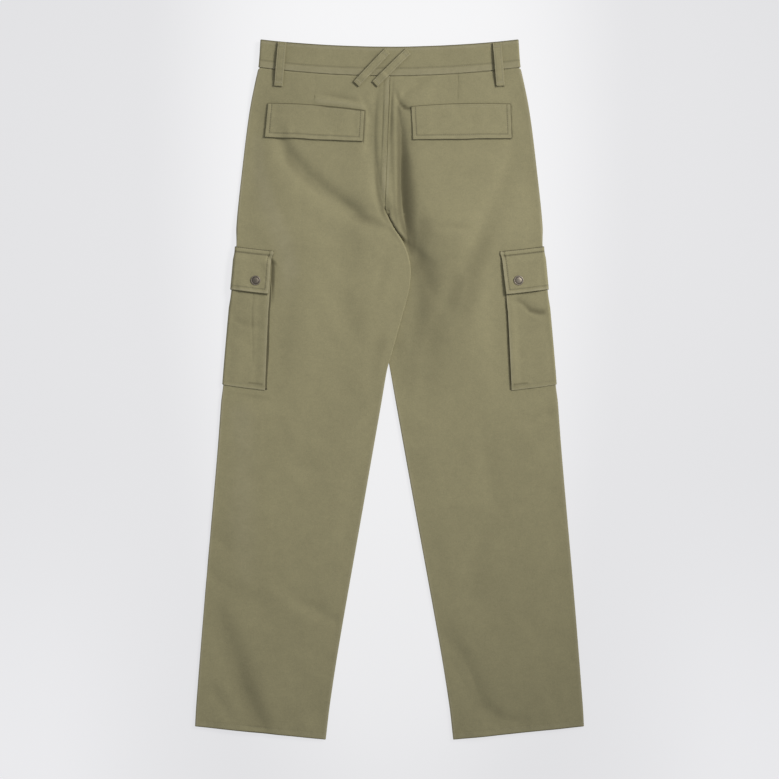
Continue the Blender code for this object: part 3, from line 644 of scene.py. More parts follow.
def twill(name, colour, rib_height=0.000035):
    """Twill with a painted value on its mesh: above 0 it is rubbed lighter or light is painted on it,
    and below 0 shade is painted on it, in the seams, in folds and beside raised edges."""
    finish = Finish(name, Sheen_Weight=0.12, Sheen_Roughness=0.45, Specular_IOR_Level=0.25)
    cut = finish.node("ShaderNodeUVMap", {"uv_map": "cut"}, {})
    across, along = finish.split(cut)
    wander = finish.noise(cut, 260.0, 1.0) * 0.0007
    climb = across * math.cos(RIB_TURN) + along * math.sin(RIB_TURN) + wander
    rib = (climb * (2 * math.pi / RIB)).wave()
    run = across * (-math.sin(RIB_TURN)) + along * math.cos(RIB_TURN)
    yarn = (run * (2 * math.pi / YARN) + climb * (math.pi / RIB)).wave()
    spot = finish.place()
    patches = finish.noise(spot, 16.0, 3.0, 0.55)
    cloudy = finish.noise(spot, 75.0, 3.0, 0.6)
    slubs = finish.noise(cut, 200.0, 2.0, 0.6)
    grain = finish.noise(cut, 480.0, 2.0, 0.75)
    worn = finish.worn()
    # painted shade below 0 darkens the twill; above 0 the value lightens it, for wear and painted light
    deep = (0.0 - worn).ramp(0.0, 1.0)
    worn = worn.ramp(0.0, 1.0) * (cloudy * 1.2 + 0.15)
    shade = (1.0 + (rib + 0.5 * yarn) * 0.022 + (patches - 0.5) * 0.12 + (cloudy - 0.5) * 0.18
             + (slubs - 0.5) * 0.16 + (grain - 0.5) * 0.34)
    tone = finish.scaled(colour, shade)
    tone = finish.mixed(worn * 0.55, tone, (*WEAR_AND_LIGHT_TONE, 1.0))
    tone = finish.mixed(deep * 0.75, tone, (*SHADE_TONE, 1.0))
    finish.surface(tone, 0.80 + (cloudy - 0.5) * 0.16 + rib * 0.02)
    finish.bump((rib + 0.45 * yarn) * rib_height + grain * 0.00006 + cloudy * 0.00025)
    return finish.material


olive_twill = twill("olive twill", OLIVE)
print("twill with", round(RIB * 1000, 2), "mm ribs")

# %% [markdown]
# ## A sheet of cloth
# A sheet starts as a flat grid, which is then laid on the heights above, point by point, as hands
# would smooth it down. Solidify gives it its real thickness. Near a folded edge the thickness
# tapers over half the cloth's thickness, so that the edge is round and not cut square. The grid's
# UV map is the flat cut in metres.

# %% A sheet of cloth
THINNEST_EDGE = 0.08


class Cloth:
    """A sheet: its places (rows, columns, 3), its cut coordinates and its thickness. up_at is a
    row, a column and the way the cloth's outer face looks there. grain moves the cut on its UV
    map, across and along, and turns it over where its third number is -1."""

    def __init__(self, name, places, thick, up_at, across=None, along=None, grain=(0, 0, 1)):
        self.name, self.places, self.thick = name, places, thick
        steps = np.linalg.norm(np.diff(places, axis=1), axis=2)
        if across is None:
            across = np.concatenate([np.zeros((len(places), 1)), np.cumsum(steps, 1)], 1)
        if along is None:
            middle = places[:, places.shape[1] // 2]
            along = np.concatenate([[0], np.cumsum(np.linalg.norm(np.diff(middle, axis=0), axis=1))])
        self.across, self.along, self.grain = across, along, grain
        normal = np.cross(np.gradient(places, axis=1), np.gradient(places, axis=0))
        normal /= np.linalg.norm(normal, axis=2, keepdims=True) + 1e-12
        row, column, out = up_at
        self.normal = -normal if normal[row, column] @ np.array(out) < 0 else normal

    def find(self, across, along):
        """Places and outward directions on the outer face at cut coordinates."""
        rows = np.interp(along, self.along, np.arange(len(self.along)))
        low = np.clip(rows.astype(int), 0, len(self.along) - 2)

        def on_row(grid, row, value):
            column = np.interp(value, self.across[row], np.arange(grid.shape[1]))
            first = min(int(column), grid.shape[1] - 2)
            return mix(grid[row, first], grid[row, first + 1], column - first)

        found = []
        for grid in (self.places, self.normal):
            ends = [np.array([on_row(grid, row, value) for row, value in zip(low + step, across)])
                    for step in (0, 1)]
            found.append(mix(*ends, (rows - low)[:, None]))
        places, normal = found
        normal /= np.linalg.norm(normal, axis=1, keepdims=True)
        return places + normal * self.thick / 2, normal

    def build(self, material, worn=0.0, round_edges=(True, True, True, True)):
        """Make the mesh: grid, places, thickness and UV map. round_edges are the first and last
        row and the first and last column."""
        rows, columns = self.places.shape[:2]
        bpy.ops.object.select_all(action="DESELECT")
        bpy.ops.mesh.primitive_grid_add(x_subdivisions=columns - 1, y_subdivisions=rows - 1,
                                        size=2.0, calc_uvs=False)
        piece = bpy.context.object
        piece.name = piece.data.name = self.name
        mesh = piece.data
        mesh.vertices.foreach_set("co", self.places.astype(np.float32).ravel())
        corners = np.empty(len(mesh.loops), np.int32)
        mesh.loops.foreach_get("vertex_index", corners)
        start, top, turn = self.grain
        across = start + self.across * turn
        along = np.broadcast_to(top - self.along[:, None], across.shape)
        flat = np.stack([across, along], -1).reshape(-1, 2)
        cut = mesh.uv_layers.new(name="cut")
        cut.data.foreach_set("uv", flat[corners].astype(np.float32).ravel())
        edge = np.clip(self.edge_distance(round_edges) / (self.thick / 2), 0.0, 1.0)
        weight = np.clip(np.sqrt(1 - (1 - edge) ** 2), THINNEST_EDGE, 1.0).ravel()
        group = piece.vertex_groups.new(name="thickness")
        group.add([int(n) for n in np.flatnonzero(weight >= 1)], 1.0, "REPLACE")
        for n in np.flatnonzero(weight < 1):
            group.add([int(n)], float(weight[n]), "REPLACE")
        # the painted value of each point: wear, painted light and painted shade
        painted_values = np.broadcast_to(worn, edge.shape).astype(np.float32)
        mesh.attributes.new("worn", "FLOAT", "POINT").data.foreach_set("value", painted_values.ravel())
        mesh.update()
        middle = mesh.polygons[len(mesh.polygons) // 2]
        row, column = divmod(len(mesh.polygons) // 2, columns - 1)
        if Vector(self.normal[row, column]).dot(middle.normal) < 0:
            mesh.flip_normals()
        mesh.materials.append(material)
        solidify = piece.modifiers.new("thickness", "SOLIDIFY")
        solidify.thickness = self.thick
        solidify.offset = 0.0
        solidify.vertex_group = "thickness"
        bpy.ops.object.modifier_apply(modifier=solidify.name)
        bpy.ops.object.shade_smooth()
        piece.vertex_groups.clear()
        self.piece = piece
        print(f"{self.name}: {rows} x {columns} points, {self.area():.4f} square metres of cloth")

    def edge_distance(self, round_edges):
        """Distance along the cloth to the nearest rounded edge."""
        down, across = self.along[:, None], self.across
        gaps = (down - down[0], down[-1] - down, across - across[:, :1], across[:, -1:] - across)
        distance = np.ones(across.shape)
        for rounded, gap in zip(round_edges, gaps):
            if rounded:
                distance = np.minimum(distance, gap)
        return distance

    def area(self):
        right = np.diff(self.places, axis=1)[:-1]
        down = np.diff(self.places, axis=0)[:, :-1]
        return float(np.linalg.norm(np.cross(right, down), axis=2).sum())


def spaced(start, end, step):
    """Evenly spaced values from start to end, about step apart."""
    return np.linspace(start, end, max(int(round((end - start) / step)), 1) + 1)


def joined(*runs):
    """Runs of values in one rising list, with no value twice."""
    values = np.sort(np.concatenate([np.atleast_1d(run) for run in runs]))
    return values[np.concatenate([[True], np.diff(values) > 1e-6])]


def edge_steps(thick):
    """Close steps that draw the round of a folded edge."""
    return np.array([0.0, 0.05, 0.16, 0.35, 0.65, 1.0, 1.5, 2.4]) * thick / 2


# %% [markdown]
# ## The four leg panels
# Each leg is one back panel and one front panel, sewn along the side and along the inner leg. The
# seam allowances turn inwards, which leaves a fine groove at each edge. Over the seat the inner
# edge is the seat seam: the left panel's edge is felled, a flat raised strip with two rows of
# stitches. At the bottom the cloth is turned up on the inside for the hem. The panels are sheets
# whose rows run round the fold of the hem, so the turned-up part can be seen in the leg's mouth.

# %% Leg panels
FIRST_ROW = 0.0375
HEM_RADIUS = 0.00056
HEM_TURN = 0.0125
HEM_STITCHES = 0.0086
# how far in from the edge the turned-in seam allowance lies
SEAM_FOLD = np.array([0.0024, 0.0010, 0.0003])
SEAM_GAP = 0.00008
# the darts below the waistband: x, the drop of the end, and how deep they show
DARTS = ((-0.111, 0.100, 0.4), (0.103, 0.098, 1.0))


def stitch_dip(distance, depth=0.00022, spread=0.0008):
    """The shallow groove that a row of stitches pulls into the cloth."""
    return -depth * near(distance, 0.0, spread)


def puckers(along, distance, size=0.0042, depth=0.00016, seed=3):
    """Small gathers beside a row of stitches."""
    return depth * unevenness(along, distance * 0.3, size, seed) * near(distance, 0.0, 0.004)


def dart(x, drop):
    """The two short seams that shape the back below the waistband."""
    return sum(near(x, at, 0.0010) * (1 - smooth(drop, end - 0.012, end)) * deep
               for at, end, deep in DARTS)


def panel_rows(step):
    """Rows of a panel: (row drop, how far the cloth lies inside its own outer layer)."""
    end = HEM - CLOTH / 2 - HEM_RADIUS
    rows = joined([FIRST_ROW, 0.0395, 0.0410], spaced(BAND_DEPTH, 0.0475, 0.0010),
                  spaced(0.0475, 0.230, step), spaced(0.230, 0.300, step / 2),
                  spaced(0.300, 1.008, step), spaced(1.008, end, min(step, 0.0016)))
    drops = list(rows)
    offsets = [0.0] * len(drops)
    for angle in np.linspace(0, math.pi, 8)[1:]:
        drops.append(end + HEM_RADIUS * math.sin(angle))
        offsets.append(HEM_RADIUS * (math.cos(angle) - 1))
    for back in (0.002, 0.005, 0.0085, 0.0115, HEM_TURN):
        drops.append(end - back)
        offsets.append(-2 * HEM_RADIUS)
    return np.array(drops)[:, None], np.array(offsets)[:, None]


def leg_panel(name, side, face, step, fine):
    row, offset = panel_rows(step)
    width = leg_width(side, row)
    inner_drop = row + row_fall(row, 1.0)
    turn = smooth(inner_drop, 0.249, 0.262)

    def height_at(reach):
        low, high = levels(side, row, reach, width)
        return high if face > 0 else low

    def roll(probe, inset):
        """The round of an edge, whose seam allowance is turned inwards: how far in from the edge
        each point lies and its height, how far in the centre lies, and the height of the top."""
        low, high = levels(side, row, probe, width)
        middle, radius = (high + low) / 2, (high - low) / 2
        bent = np.maximum(radius + offset, 0.0003)
        first = np.arcsin(np.minimum((CLOTH / 2 + SEAM_GAP) / bent, 0.9))
        angles = first + (math.pi / 2 - first) * np.linspace(0, 1, 7)
        centre = inset + radius + CLOTH / 2
        inwards = centre - bent * np.cos(angles)
        inwards = np.concatenate([inwards[:, :1] + SEAM_FOLD, inwards], 1)
        height = middle + face * bent * np.sin(angles)
        height = np.concatenate([height[:, [0] * len(SEAM_FOLD)], height], 1)
        return inwards, height, centre, middle + face * radius

    side_reach, side_height, start, side_top = roll(np.full(row.shape, ROLL_PROBE), edge_inset(row))
    inwards, inner_height, _, roll_top = roll(width - 0.004, 0.0)

    # the inner edge over the seat, along the seat seam
    edge_height = height_at(width - 0.0012)
    corner = 0.0004
    angles = np.linspace(0, math.pi / 2, 7)
    flat_reach = width + AIR / 2 - 0.00005 - CLOTH / 2 - corner + corner * np.sin(angles)
    flat_height = edge_height - face * corner * (1 - np.cos(angles))
    if side == LEFT:
        room = smooth(row, BAND_DEPTH + 0.010, BAND_DEPTH + 0.030)
        drop_in = np.array([0.0003, 0.0006, 0.0009]) + np.array([0.0002, 0.0015, 0.0017]) * room
        run = np.array([0.0, 0.0006, 0.0085]) * room
    else:
        drop_in, run = np.array([[0.0003, 0.0007, 0.0011]]), np.zeros(3)
    flat_reach = np.concatenate([flat_reach, flat_reach[:, -1:] + run], 1)
    flat_height = np.concatenate([flat_height, flat_height[:, -1:] - face * drop_in], 1)
    end_reach = mix(flat_reach, width - inwards[:, ::-1], turn)
    end_height = mix(flat_height, inner_height[:, ::-1], turn)
    inner_top = mix(edge_height, roll_top, turn)

    # the flat part between the two edges
    outer = joined([0.0012, 0.0026, 0.0042], spaced(0.006, 0.024, 0.003))
    inner = joined(spaced(0.0012, 0.046, fine * 0.7), spaced(0.046, 0.070, fine))[::-1]
    end = end_reach[:, :1]
    spots = np.linspace(0, 1, int(0.20 / (step * 1.05)) + 2)[1:-1]
    between = mix(start + outer[-1], end - inner[0], spots)
    reach = np.concatenate([start + outer, between, end - inner], 1)
    height = height_at(reach)
    height = mix(side_top, height, smooth(reach - start, 0.0, FLATTENS))
    bend = 0.010
    if side == RIGHT:
        bend = mix(0.0030, 0.010, smooth(inner_drop, 0.268, 0.300))
    height = mix(inner_top, height, mix(1.0, smooth(end - reach, 0.0, bend), turn))
    height = height + face * offset
    if face > 0:
        x = side * (half_width(row) - reach)
        height = height - 0.0005 * dart(x, row + row_fall(row, reach / width))
        hem_line = row - (HEM - HEM_STITCHES)
        height = height + (stitch_dip(hem_line, 0.0002, 0.0010) * (offset == 0)
                           + puckers(x, hem_line, 0.0060, 0.00035, 31))
    reach = np.concatenate([side_reach, reach, end_reach], 1)
    height = np.concatenate([side_height, height, end_height + face * offset * (1 - turn)], 1)
    places = place(side, row, reach, height)
    steps = np.hypot(np.diff(row[:, 0]), np.diff(offset[:, 0]))
    along = np.concatenate([[0.0], np.cumsum(steps)])
    grain = (side * face * -0.3, 0.0, side * face)
    return Cloth(name, places, CLOTH, (150, 60, (0, 0, face)), along=along, grain=grain), row, reach


# painted shade, where the cloth is darkest: folds that other folds shade, the deep trough, the edges
# beside the flaps and pockets, and broad stretches of the legs, each drawn as a line like a crease
PAINTED_SHADE_LINES = {
    LEFT: [
        [(-19, 85, 2, 2, -0.15), (-22, 143, 2, 2.5, -0.30), (-22, 190, 2.5, 3, -0.45),
         (-18, 220, 4, 3, -0.75), (-14, 240, 6, 3, -0.78), (-8, 258, 7, 3, -0.75),
         (2, 272, 6, 2, -0.5), (12, 286, 4, 2, -0.2)],
        [(-4, 100, 2.5, 2.5, -0.4), (-5, 120, 2.5, 2.5, -0.95), (-6, 160, 2.5, 2.5, -0.85),
         (-6, 188, 2.5, 2.5, -0.1)],
        [(-36.0, 106, 1.2, 1.2, -0.9), (-39.0, 155, 1.2, 1.2, -0.9)],
        [(-106, 81, 3, 3, -0.1), (-92, 83, 4, 4, -0.45), (-72, 87, 4, 4, -0.5),
         (-52, 91, 4, 4, -0.4), (-40, 94, 3, 3, -0.1)],
        [(-112, 86, 0.9, 0.9, -0.8), (-112, 97, 0.9, 0.9, -0.8)],
        [(-179, 326, 2, 3, -0.9), (-176.5, 331, 3, 3, -1.7), (-174.5, 338, 3, 3, -1.5),
         (-175, 348, 3, 4, -1.5), (-175.5, 362, 3, 4, -1.5), (-175.5, 382, 3, 4, -0.9),
         (-176, 402, 3, 4, -0.2)],
        [(-175, 331, 2, 2, -0.6), (-171, 334.5, 2.5, 2.5, -1.4), (-167, 341, 2, 2, -0.2)],
        [(-240, 528, 8, 3, -0.2), (-225, 530, 9, 3, -0.45), (-200, 533, 9, 3, -0.5),
         (-180, 536, 8, 3, -0.3)],
        [(-160, 162, 6, 8, -0.2), (-150, 182, 7, 9, -0.6), (-134, 203, 7, 9, -0.42),
         (-112, 222, 7, 9, -0.36), (-90, 240, 6, 8, -0.1)],
        [(-60, 262, 8, 8, -0.1), (-42, 268, 10, 9, -0.5), (-22, 272, 10, 8, -0.5),
         (-6, 280, 6, 5, -0.4), (3, 286, 5, 4, -0.4), (13, 297, 4, 3, -0.3), (22, 312, 3, 2, -0.1)],
        [(-14, 425, 16, 14, -0.1), (-10, 455, 18, 10, -0.42), (-18, 490, 14, 8, -0.35),
         (-26, 540, 12, 6, -0.1)],
        [(-252, 850, 22, 22, -0.15), (-230, 920, 26, 26, -0.34), (-210, 975, 28, 26, -0.46),
         (-195, 1030, 26, 26, -0.46)],
    ],
    RIGHT: [
        [(17, 110, 3, 3, -0.1), (22, 134, 6, 3, -0.4), (24, 178, 9, 9, -0.92),
         (24, 218, 10, 15, -1.0), (26, 248, 12, 17, -1.0), (32, 286, 8, 9, -1.0),
         (35, 312, 6, 8, -0.85), (38, 330, 6, 7, -0.6)],
        [(13, 86, 3, 4, -0.2), (14, 100, 4, 4, -0.6), (14, 122, 5, 5, -0.8),
         (14.5, 150, 5, 6, -0.95), (14, 200, 5, 6, -0.95), (14, 240, 5, 6, -0.95),
         (16, 262, 6, 5, -0.9), (21.5, 284, 5, 5, -1.0), (28, 300, 5, 6, -0.9),
         (34, 318, 6, 6, -0.85), (40, 330, 6, 6, -0.5)],
        [(0, 92, 4, 5, -0.7), (2, 120, 5, 6, -0.85), (3, 165, 5, 6, -0.60), (6, 205, 4, 5, -0.6),
         (8, 245, 4, 5, -0.6), (10, 262, 4, 5, -0.6), (13, 280, 4, 4, -0.4), (17, 292, 3, 3, -0.1)],
        [(50, 248, 8, 9, -0.1), (52, 270, 12, 16, -0.46), (56, 292, 12, 18, -0.46),
         (52, 310, 9, 9, -0.1)],
        [(14, 430, 8, 12, -0.1), (14, 455, 8, 14, -0.4), (17, 482, 8, 12, -0.3),
         (26, 520, 8, 10, -0.1)],
        [(44, 262, 8, 8, -0.1), (40, 290, 9, 8, -0.25), (42, 318, 12, 12, -0.6),
         (46, 335, 20, 14, -0.75), (54, 358, 24, 16, -0.62), (62, 400, 30, 24, -0.44),
         (64, 450, 36, 26, -0.38), (70, 520, 34, 30, -0.1)],
        [(98, 330, 12, 14, -0.1), (103, 362, 14, 16, -0.50), (96, 395, 14, 16, -0.40),
         (90, 420, 12, 12, -0.05)],
        [(160, 250, 14, 12, -0.1), (147, 300, 18, 12, -0.42), (131, 345, 22, 16, -0.48),
         (122, 392, 20, 16, -0.42), (110, 440, 16, 14, -0.15)],
        [(10, 85, 2.4, 2.4, -0.3), (16.5, 97, 3.2, 2.8, -1.0), (23, 102, 4.5, 2.8, -1.3),
         (31, 104, 4.5, 2.4, -1.1)],
        [(1, 56, 4, 6, -0.5), (1, 76, 3, 6, -0.9), (1, 98, 3, 5, -0.9), (1, 114, 3, 4, -0.2)],
        [(182.3, 98, 1.2, 1.2, -0.9), (183.9, 149, 1.2, 1.2, -0.9)],
    ],
}
# painted light, where the cloth is palest: the lip above the left seat flap, and the outer swell of
# the left thigh and calf
PAINTED_LIGHT_LINES = [
    [(-109, 92.5, 4, 4, 0.5), (-75, 96, 4, 4, 0.5), (-38, 102.5, 3, 3, 0.4)],
    [(-198, 150, 14, 10, 0.3), (-194, 200, 16, 12, 0.5), (-180, 250, 20, 16, 0.5),
     (-158, 300, 20, 16, 0.5), (-148, 345, 18, 16, 0.55), (-158, 400, 16, 16, 0.1)],
    [(-216, 530, 14, 14, 0.1), (-222, 560, 20, 22, 0.5), (-218, 640, 24, 24, 0.4),
     (-222, 720, 24, 26, 0.45), (-215, 800, 22, 24, 0.3)],
]


def painted(x, drop, lines):
    """How strong each of a list of painted lines is at a point."""
    return [crease(x, drop, points, roundness=2.4) / MM for points in lines]


def panel_wear_light_and_shade(row, reach, side, face):
    """Worn lighter near the hem's edge and beside the seams, with painted shade and painted light."""
    width = leg_width(side, row)
    x = side * (half_width(row) - reach)
    drop = row + row_fall(row, reach / width)
    # rubbed lighter near the hem's edge, and painted shade on the very edge of its fold
    hem = 0.35 * plateau(row, HEM - 0.0070, HEM - 0.0030, 0.001)
    hem = hem - 0.75 * smooth(row, HEM - 0.0022, HEM - 0.0006)
    inner = near(width - reach, 0.0026, 0.0016) * (1 - 0.9 * plateau(drop, 0.245, 0.500, 0.020))
    seams = near(reach, 0.0026, 0.0016) + inner
    # painted light just below the waistband
    painted_light_and_shade = -0.35 * near(row, BAND_DEPTH, 0.0016)
    if face > 0:
        # painted shade along the seat seam's two rows of stitches
        below = smooth(drop, 0.085, 0.100) * (1 - smooth(drop, 0.150, 0.180))
        for shift, strength in ((0.0, 0.6), (0.0070, 0.5)):
            painted_light_and_shade = painted_light_and_shade + strength * below * near(x, seam_x(drop) - shift, 0.0010)
        # painted shade along the lines where shade is painted, and painted light on the left leg
        painted_light_and_shade = painted_light_and_shade - 0.70 * np.minimum.reduce(painted(x, drop, PAINTED_SHADE_LINES[side]))
        if side == LEFT:
            painted_light_and_shade = painted_light_and_shade - np.maximum.reduce(painted(x, drop, PAINTED_LIGHT_LINES))
        # painted shade in the darts and in the hem's row of stitches
        painted_light_and_shade = painted_light_and_shade + 0.50 * dart(x, drop) + 0.15 * near(row, HEM - HEM_STITCHES, 0.0010)
    else:
        # painted shade along the fly at the centre front
        painted_light_and_shade = painted_light_and_shade + 0.9 * (1 - smooth(drop, 0.18, 0.20)) * near(x, 0.0, 0.0010)
    return np.clip(hem + 0.75 * seams - painted_light_and_shade, -1.0, 1.0)


panels = {}
for word, side in SIDES.items():
    for kind, face, step, fine in (("back", 1, 0.0036, 0.0018), ("front", -1, 0.0058, 0.0040)):
        cloth, row, reach = leg_panel(f"{kind}_leg_{word}", side, face, step, fine)
        cloth.build(olive_twill, panel_wear_light_and_shade(row, reach, side, face), (False, True, False, False))
        panels[kind, word] = cloth

# %% [markdown]
# ## What the small pieces lie on
# Flaps and loops lie on the panels and on the waistband. To find the height there, the sag of the
# rows is undone: the row that passes through a point is found in a few rounds of trying.

# %% What the small pieces lie on


def panel_top(x, drop):
    """Height of the upper face of the back panels."""
    tops = []
    for side in SIDES.values():
        row = np.array(drop, float)
        for _ in range(6):
            reach = np.clip(half_width(row) - side * x, 0.0, leg_width(side, row))
            row = drop - row_fall(row, reach / leg_width(side, row))
        tops.append(levels(side, row, reach, leg_width(side, row))[1] + CLOTH / 2)
    return np.where(x < seam_x(drop), tops[0], tops[1])


def band_drop(x, share):
    """The waistband's top edge at share 0 and its lower edge at share 1."""
    centred = 1 - np.minimum(np.abs(x) / half_width(BAND_DEPTH * share), 1.0) ** 2
    return mix(WAIST_CENTRE_FALL * centred, BAND_DEPTH + BAND_CENTRE_FALL * centred, share)


BAND_LOW = WAIST_LIFT + BAND_CLOTH / 2
BAND_HIGH = BAND_LOW + 2 * (BAND_CLOTH + AIR)
LAP_LEVEL = BAND_LOW + BAND_CLOTH + AIR


def band_wave(x, share):
    """How the back of the waistband stands up from level."""
    ripple = 0.00025 * unevenness(x, share * 0.04, 0.016, 71)
    ripple = ripple + 0.00045 * unevenness(x, share * 0.04, 0.050, 73)
    return waist_swell(x) * mix(1.35, 1.0, share) + ripple * smooth(share, 1.0, 0.8)


def band_top(x, share):
    return BAND_HIGH + band_wave(x, share) + BAND_CLOTH / 2


def cloth_top(x, drop):
    """The highest cloth at a point of the back."""
    upper, lower = band_drop(x, 0.0), band_drop(x, 1.0)
    share = np.clip((drop - upper) / (lower - upper), 0.0, 1.0)
    return np.where(drop < lower, band_top(x, share), panel_top(x, drop))


print("seat height", round(float(panel_top(np.array(-0.1), np.array(0.12))) * 1000, 1), "mm")

# %% [markdown]
# ## The waistband
# The waistband is a long doubled strip, folded over at the top. It goes all round: from its lapped
# end at the front, round the left side, across the back, round the right side, and under its own
# end. Its row of points is that path, and every row is a little longer than the one above.

# %% Waistband
BAND_STITCHES, BAND_EDGE_STITCHES = 0.0105, 0.0030


def waistband():
    edge = edge_steps(BAND_CLOTH)
    share = joined(edge / BAND_DEPTH, spaced(0.05, 0.80, 0.034), spaced(0.80, 0.94, 0.017),
                   1 - edge / BAND_DEPTH)[:, None]
    upper, lower = BAND_DEPTH * share, (1 - share) * BAND_DEPTH
    radius = (BAND_HIGH - BAND_LOW) / 2
    middle = (BAND_HIGH + BAND_LOW) / 2
    centre = half_width(upper) - radius - BAND_CLOTH / 2
    lap_end, under_end = 0.022, -0.020

    def spread_x(first, last, count):
        return mix(first, last, np.linspace(0, 1, count + 1)[None, :]) + 0 * share

    left_front = np.concatenate([lap_end - edge + 0 * share,
                                 spread_x(lap_end - 0.004, -centre, 48)], 1)
    back = spread_x(-centre, centre, 150)
    right_front = spread_x(centre, 0.040, 36)
    step_x = spread_x(0.039, 0.024, 10)
    under = np.concatenate([spread_x(0.022, under_end + 0.003, 10),
                            under_end + edge[::-1] + 0 * share], 1)
    turn = np.linspace(0, math.pi, 13)[1:-1]
    left_roll = -centre - radius * np.sin(turn), middle - radius * np.cos(turn) + 0 * share
    right_roll = centre + radius * np.sin(turn), middle + radius * np.cos(turn) + 0 * share
    rise = mix(LAP_LEVEL, BAND_LOW, smooth(step_x, 0.025, 0.037))
    flat = np.full(share.shape, BAND_LOW)
    back_height = BAND_HIGH + band_wave(back, share) * smooth(centre - np.abs(back), 0.0, 0.02)
    x = np.concatenate([left_front, left_roll[0], back, right_roll[0], right_front, step_x, under], 1)
    z = np.concatenate([flat + 0 * left_front, left_roll[1], back_height, right_roll[1],
                        flat + 0 * right_front, rise, LAP_LEVEL + 0 * under], 1)
    y = TOP - band_drop(x, share)
    length = np.cumsum(np.concatenate([[0], np.hypot(*np.diff(np.stack([x[-1], z[-1]])))]))
    out = np.sign(z - middle) * np.minimum(np.abs(z - middle) / radius, 1.0)
    z = z + out * (stitch_dip(lower - BAND_STITCHES, 0.00025)
                   + stitch_dip(upper - BAND_EDGE_STITCHES, 0.00014)
                   + puckers(length, lower - BAND_STITCHES)
                   + puckers(length, lower, 0.005, 0.00020, 9))
    cloth = Cloth("waistband_cloth", np.stack([x, y, z], -1), BAND_CLOTH, (8, 140, (0, 0, 1)),
                  along=upper[:, 0])
    # painted shade on the top edge and the lower stitches; painted light where the lower edge is shaded
    worn = 0.7 * near(upper, 0.0038, 0.0022) - 1.0 * (1 - smooth(upper, 0.0008, 0.0024))
    worn = worn + 0.5 * plateau(lower, 0.0020, 0.0080, 0.0015) + near(lower, 0.0, 0.0014)
    worn = np.minimum(worn - 0.5 * near(lower, BAND_STITCHES, 0.0014), 1.0)
    cloth.build(olive_twill, worn)
    return cloth


band = waistband()

# %% [markdown]
# ## Pocket flaps on the seat
# Each flap is two layers of twill turned out like a pillowcase and topstitched 6 mm from the edge.
# Its upper edge is caught in a seam, and its lower edge and corners stand off the seat a little,
# which casts part of the dark line round it; the rest is painted shade along its edges and on the
# seat beside them. The sheet is laid over the seat's own height, but smoothed, because a doubled
# flap is stiffer than the cloth below.

# %% Seat flaps
FLAP_STITCHES = 0.0062
SEAT_FLAP_SEAM = 0.0050
SEAT_FLAPS = {
    "left": ((-0.1820, 0.0952), (-0.0366, 0.1066), (-0.0396, 0.1540), (-0.1873, 0.1464)),
    "right": ((0.1818, 0.0963), (0.0323, 0.1012), (0.0347, 0.1516), (0.1834, 0.1484)),
}


def blurred(grid, rounds):
    """A grid of heights, each round averaged with its neighbours."""
    for _ in range(rounds):
        wide = np.pad(grid, 1, mode="edge")
        grid = (wide[1:-1, 1:-1] * 2 + wide[:-2, 1:-1] + wide[2:, 1:-1] + wide[1:-1, :-2]
                + wide[1:-1, 2:]) / 6
    return grid


def flap_wear_and_shade(from_edge, stitch_line, paleness=0.42):
    """Light along the folded edge and over the band beside it; painted shade at the very edge and in the
    row of stitches.
    """
    band = paleness * (1 - smooth(from_edge, stitch_line - 0.002, stitch_line))
    edge = 0.8 * near(from_edge, 0.0016, 0.0008) - 1.1 * (1 - smooth(from_edge, 0.0004, 0.0012))
    return edge + band - 0.85 * near(from_edge, stitch_line, 0.0009)


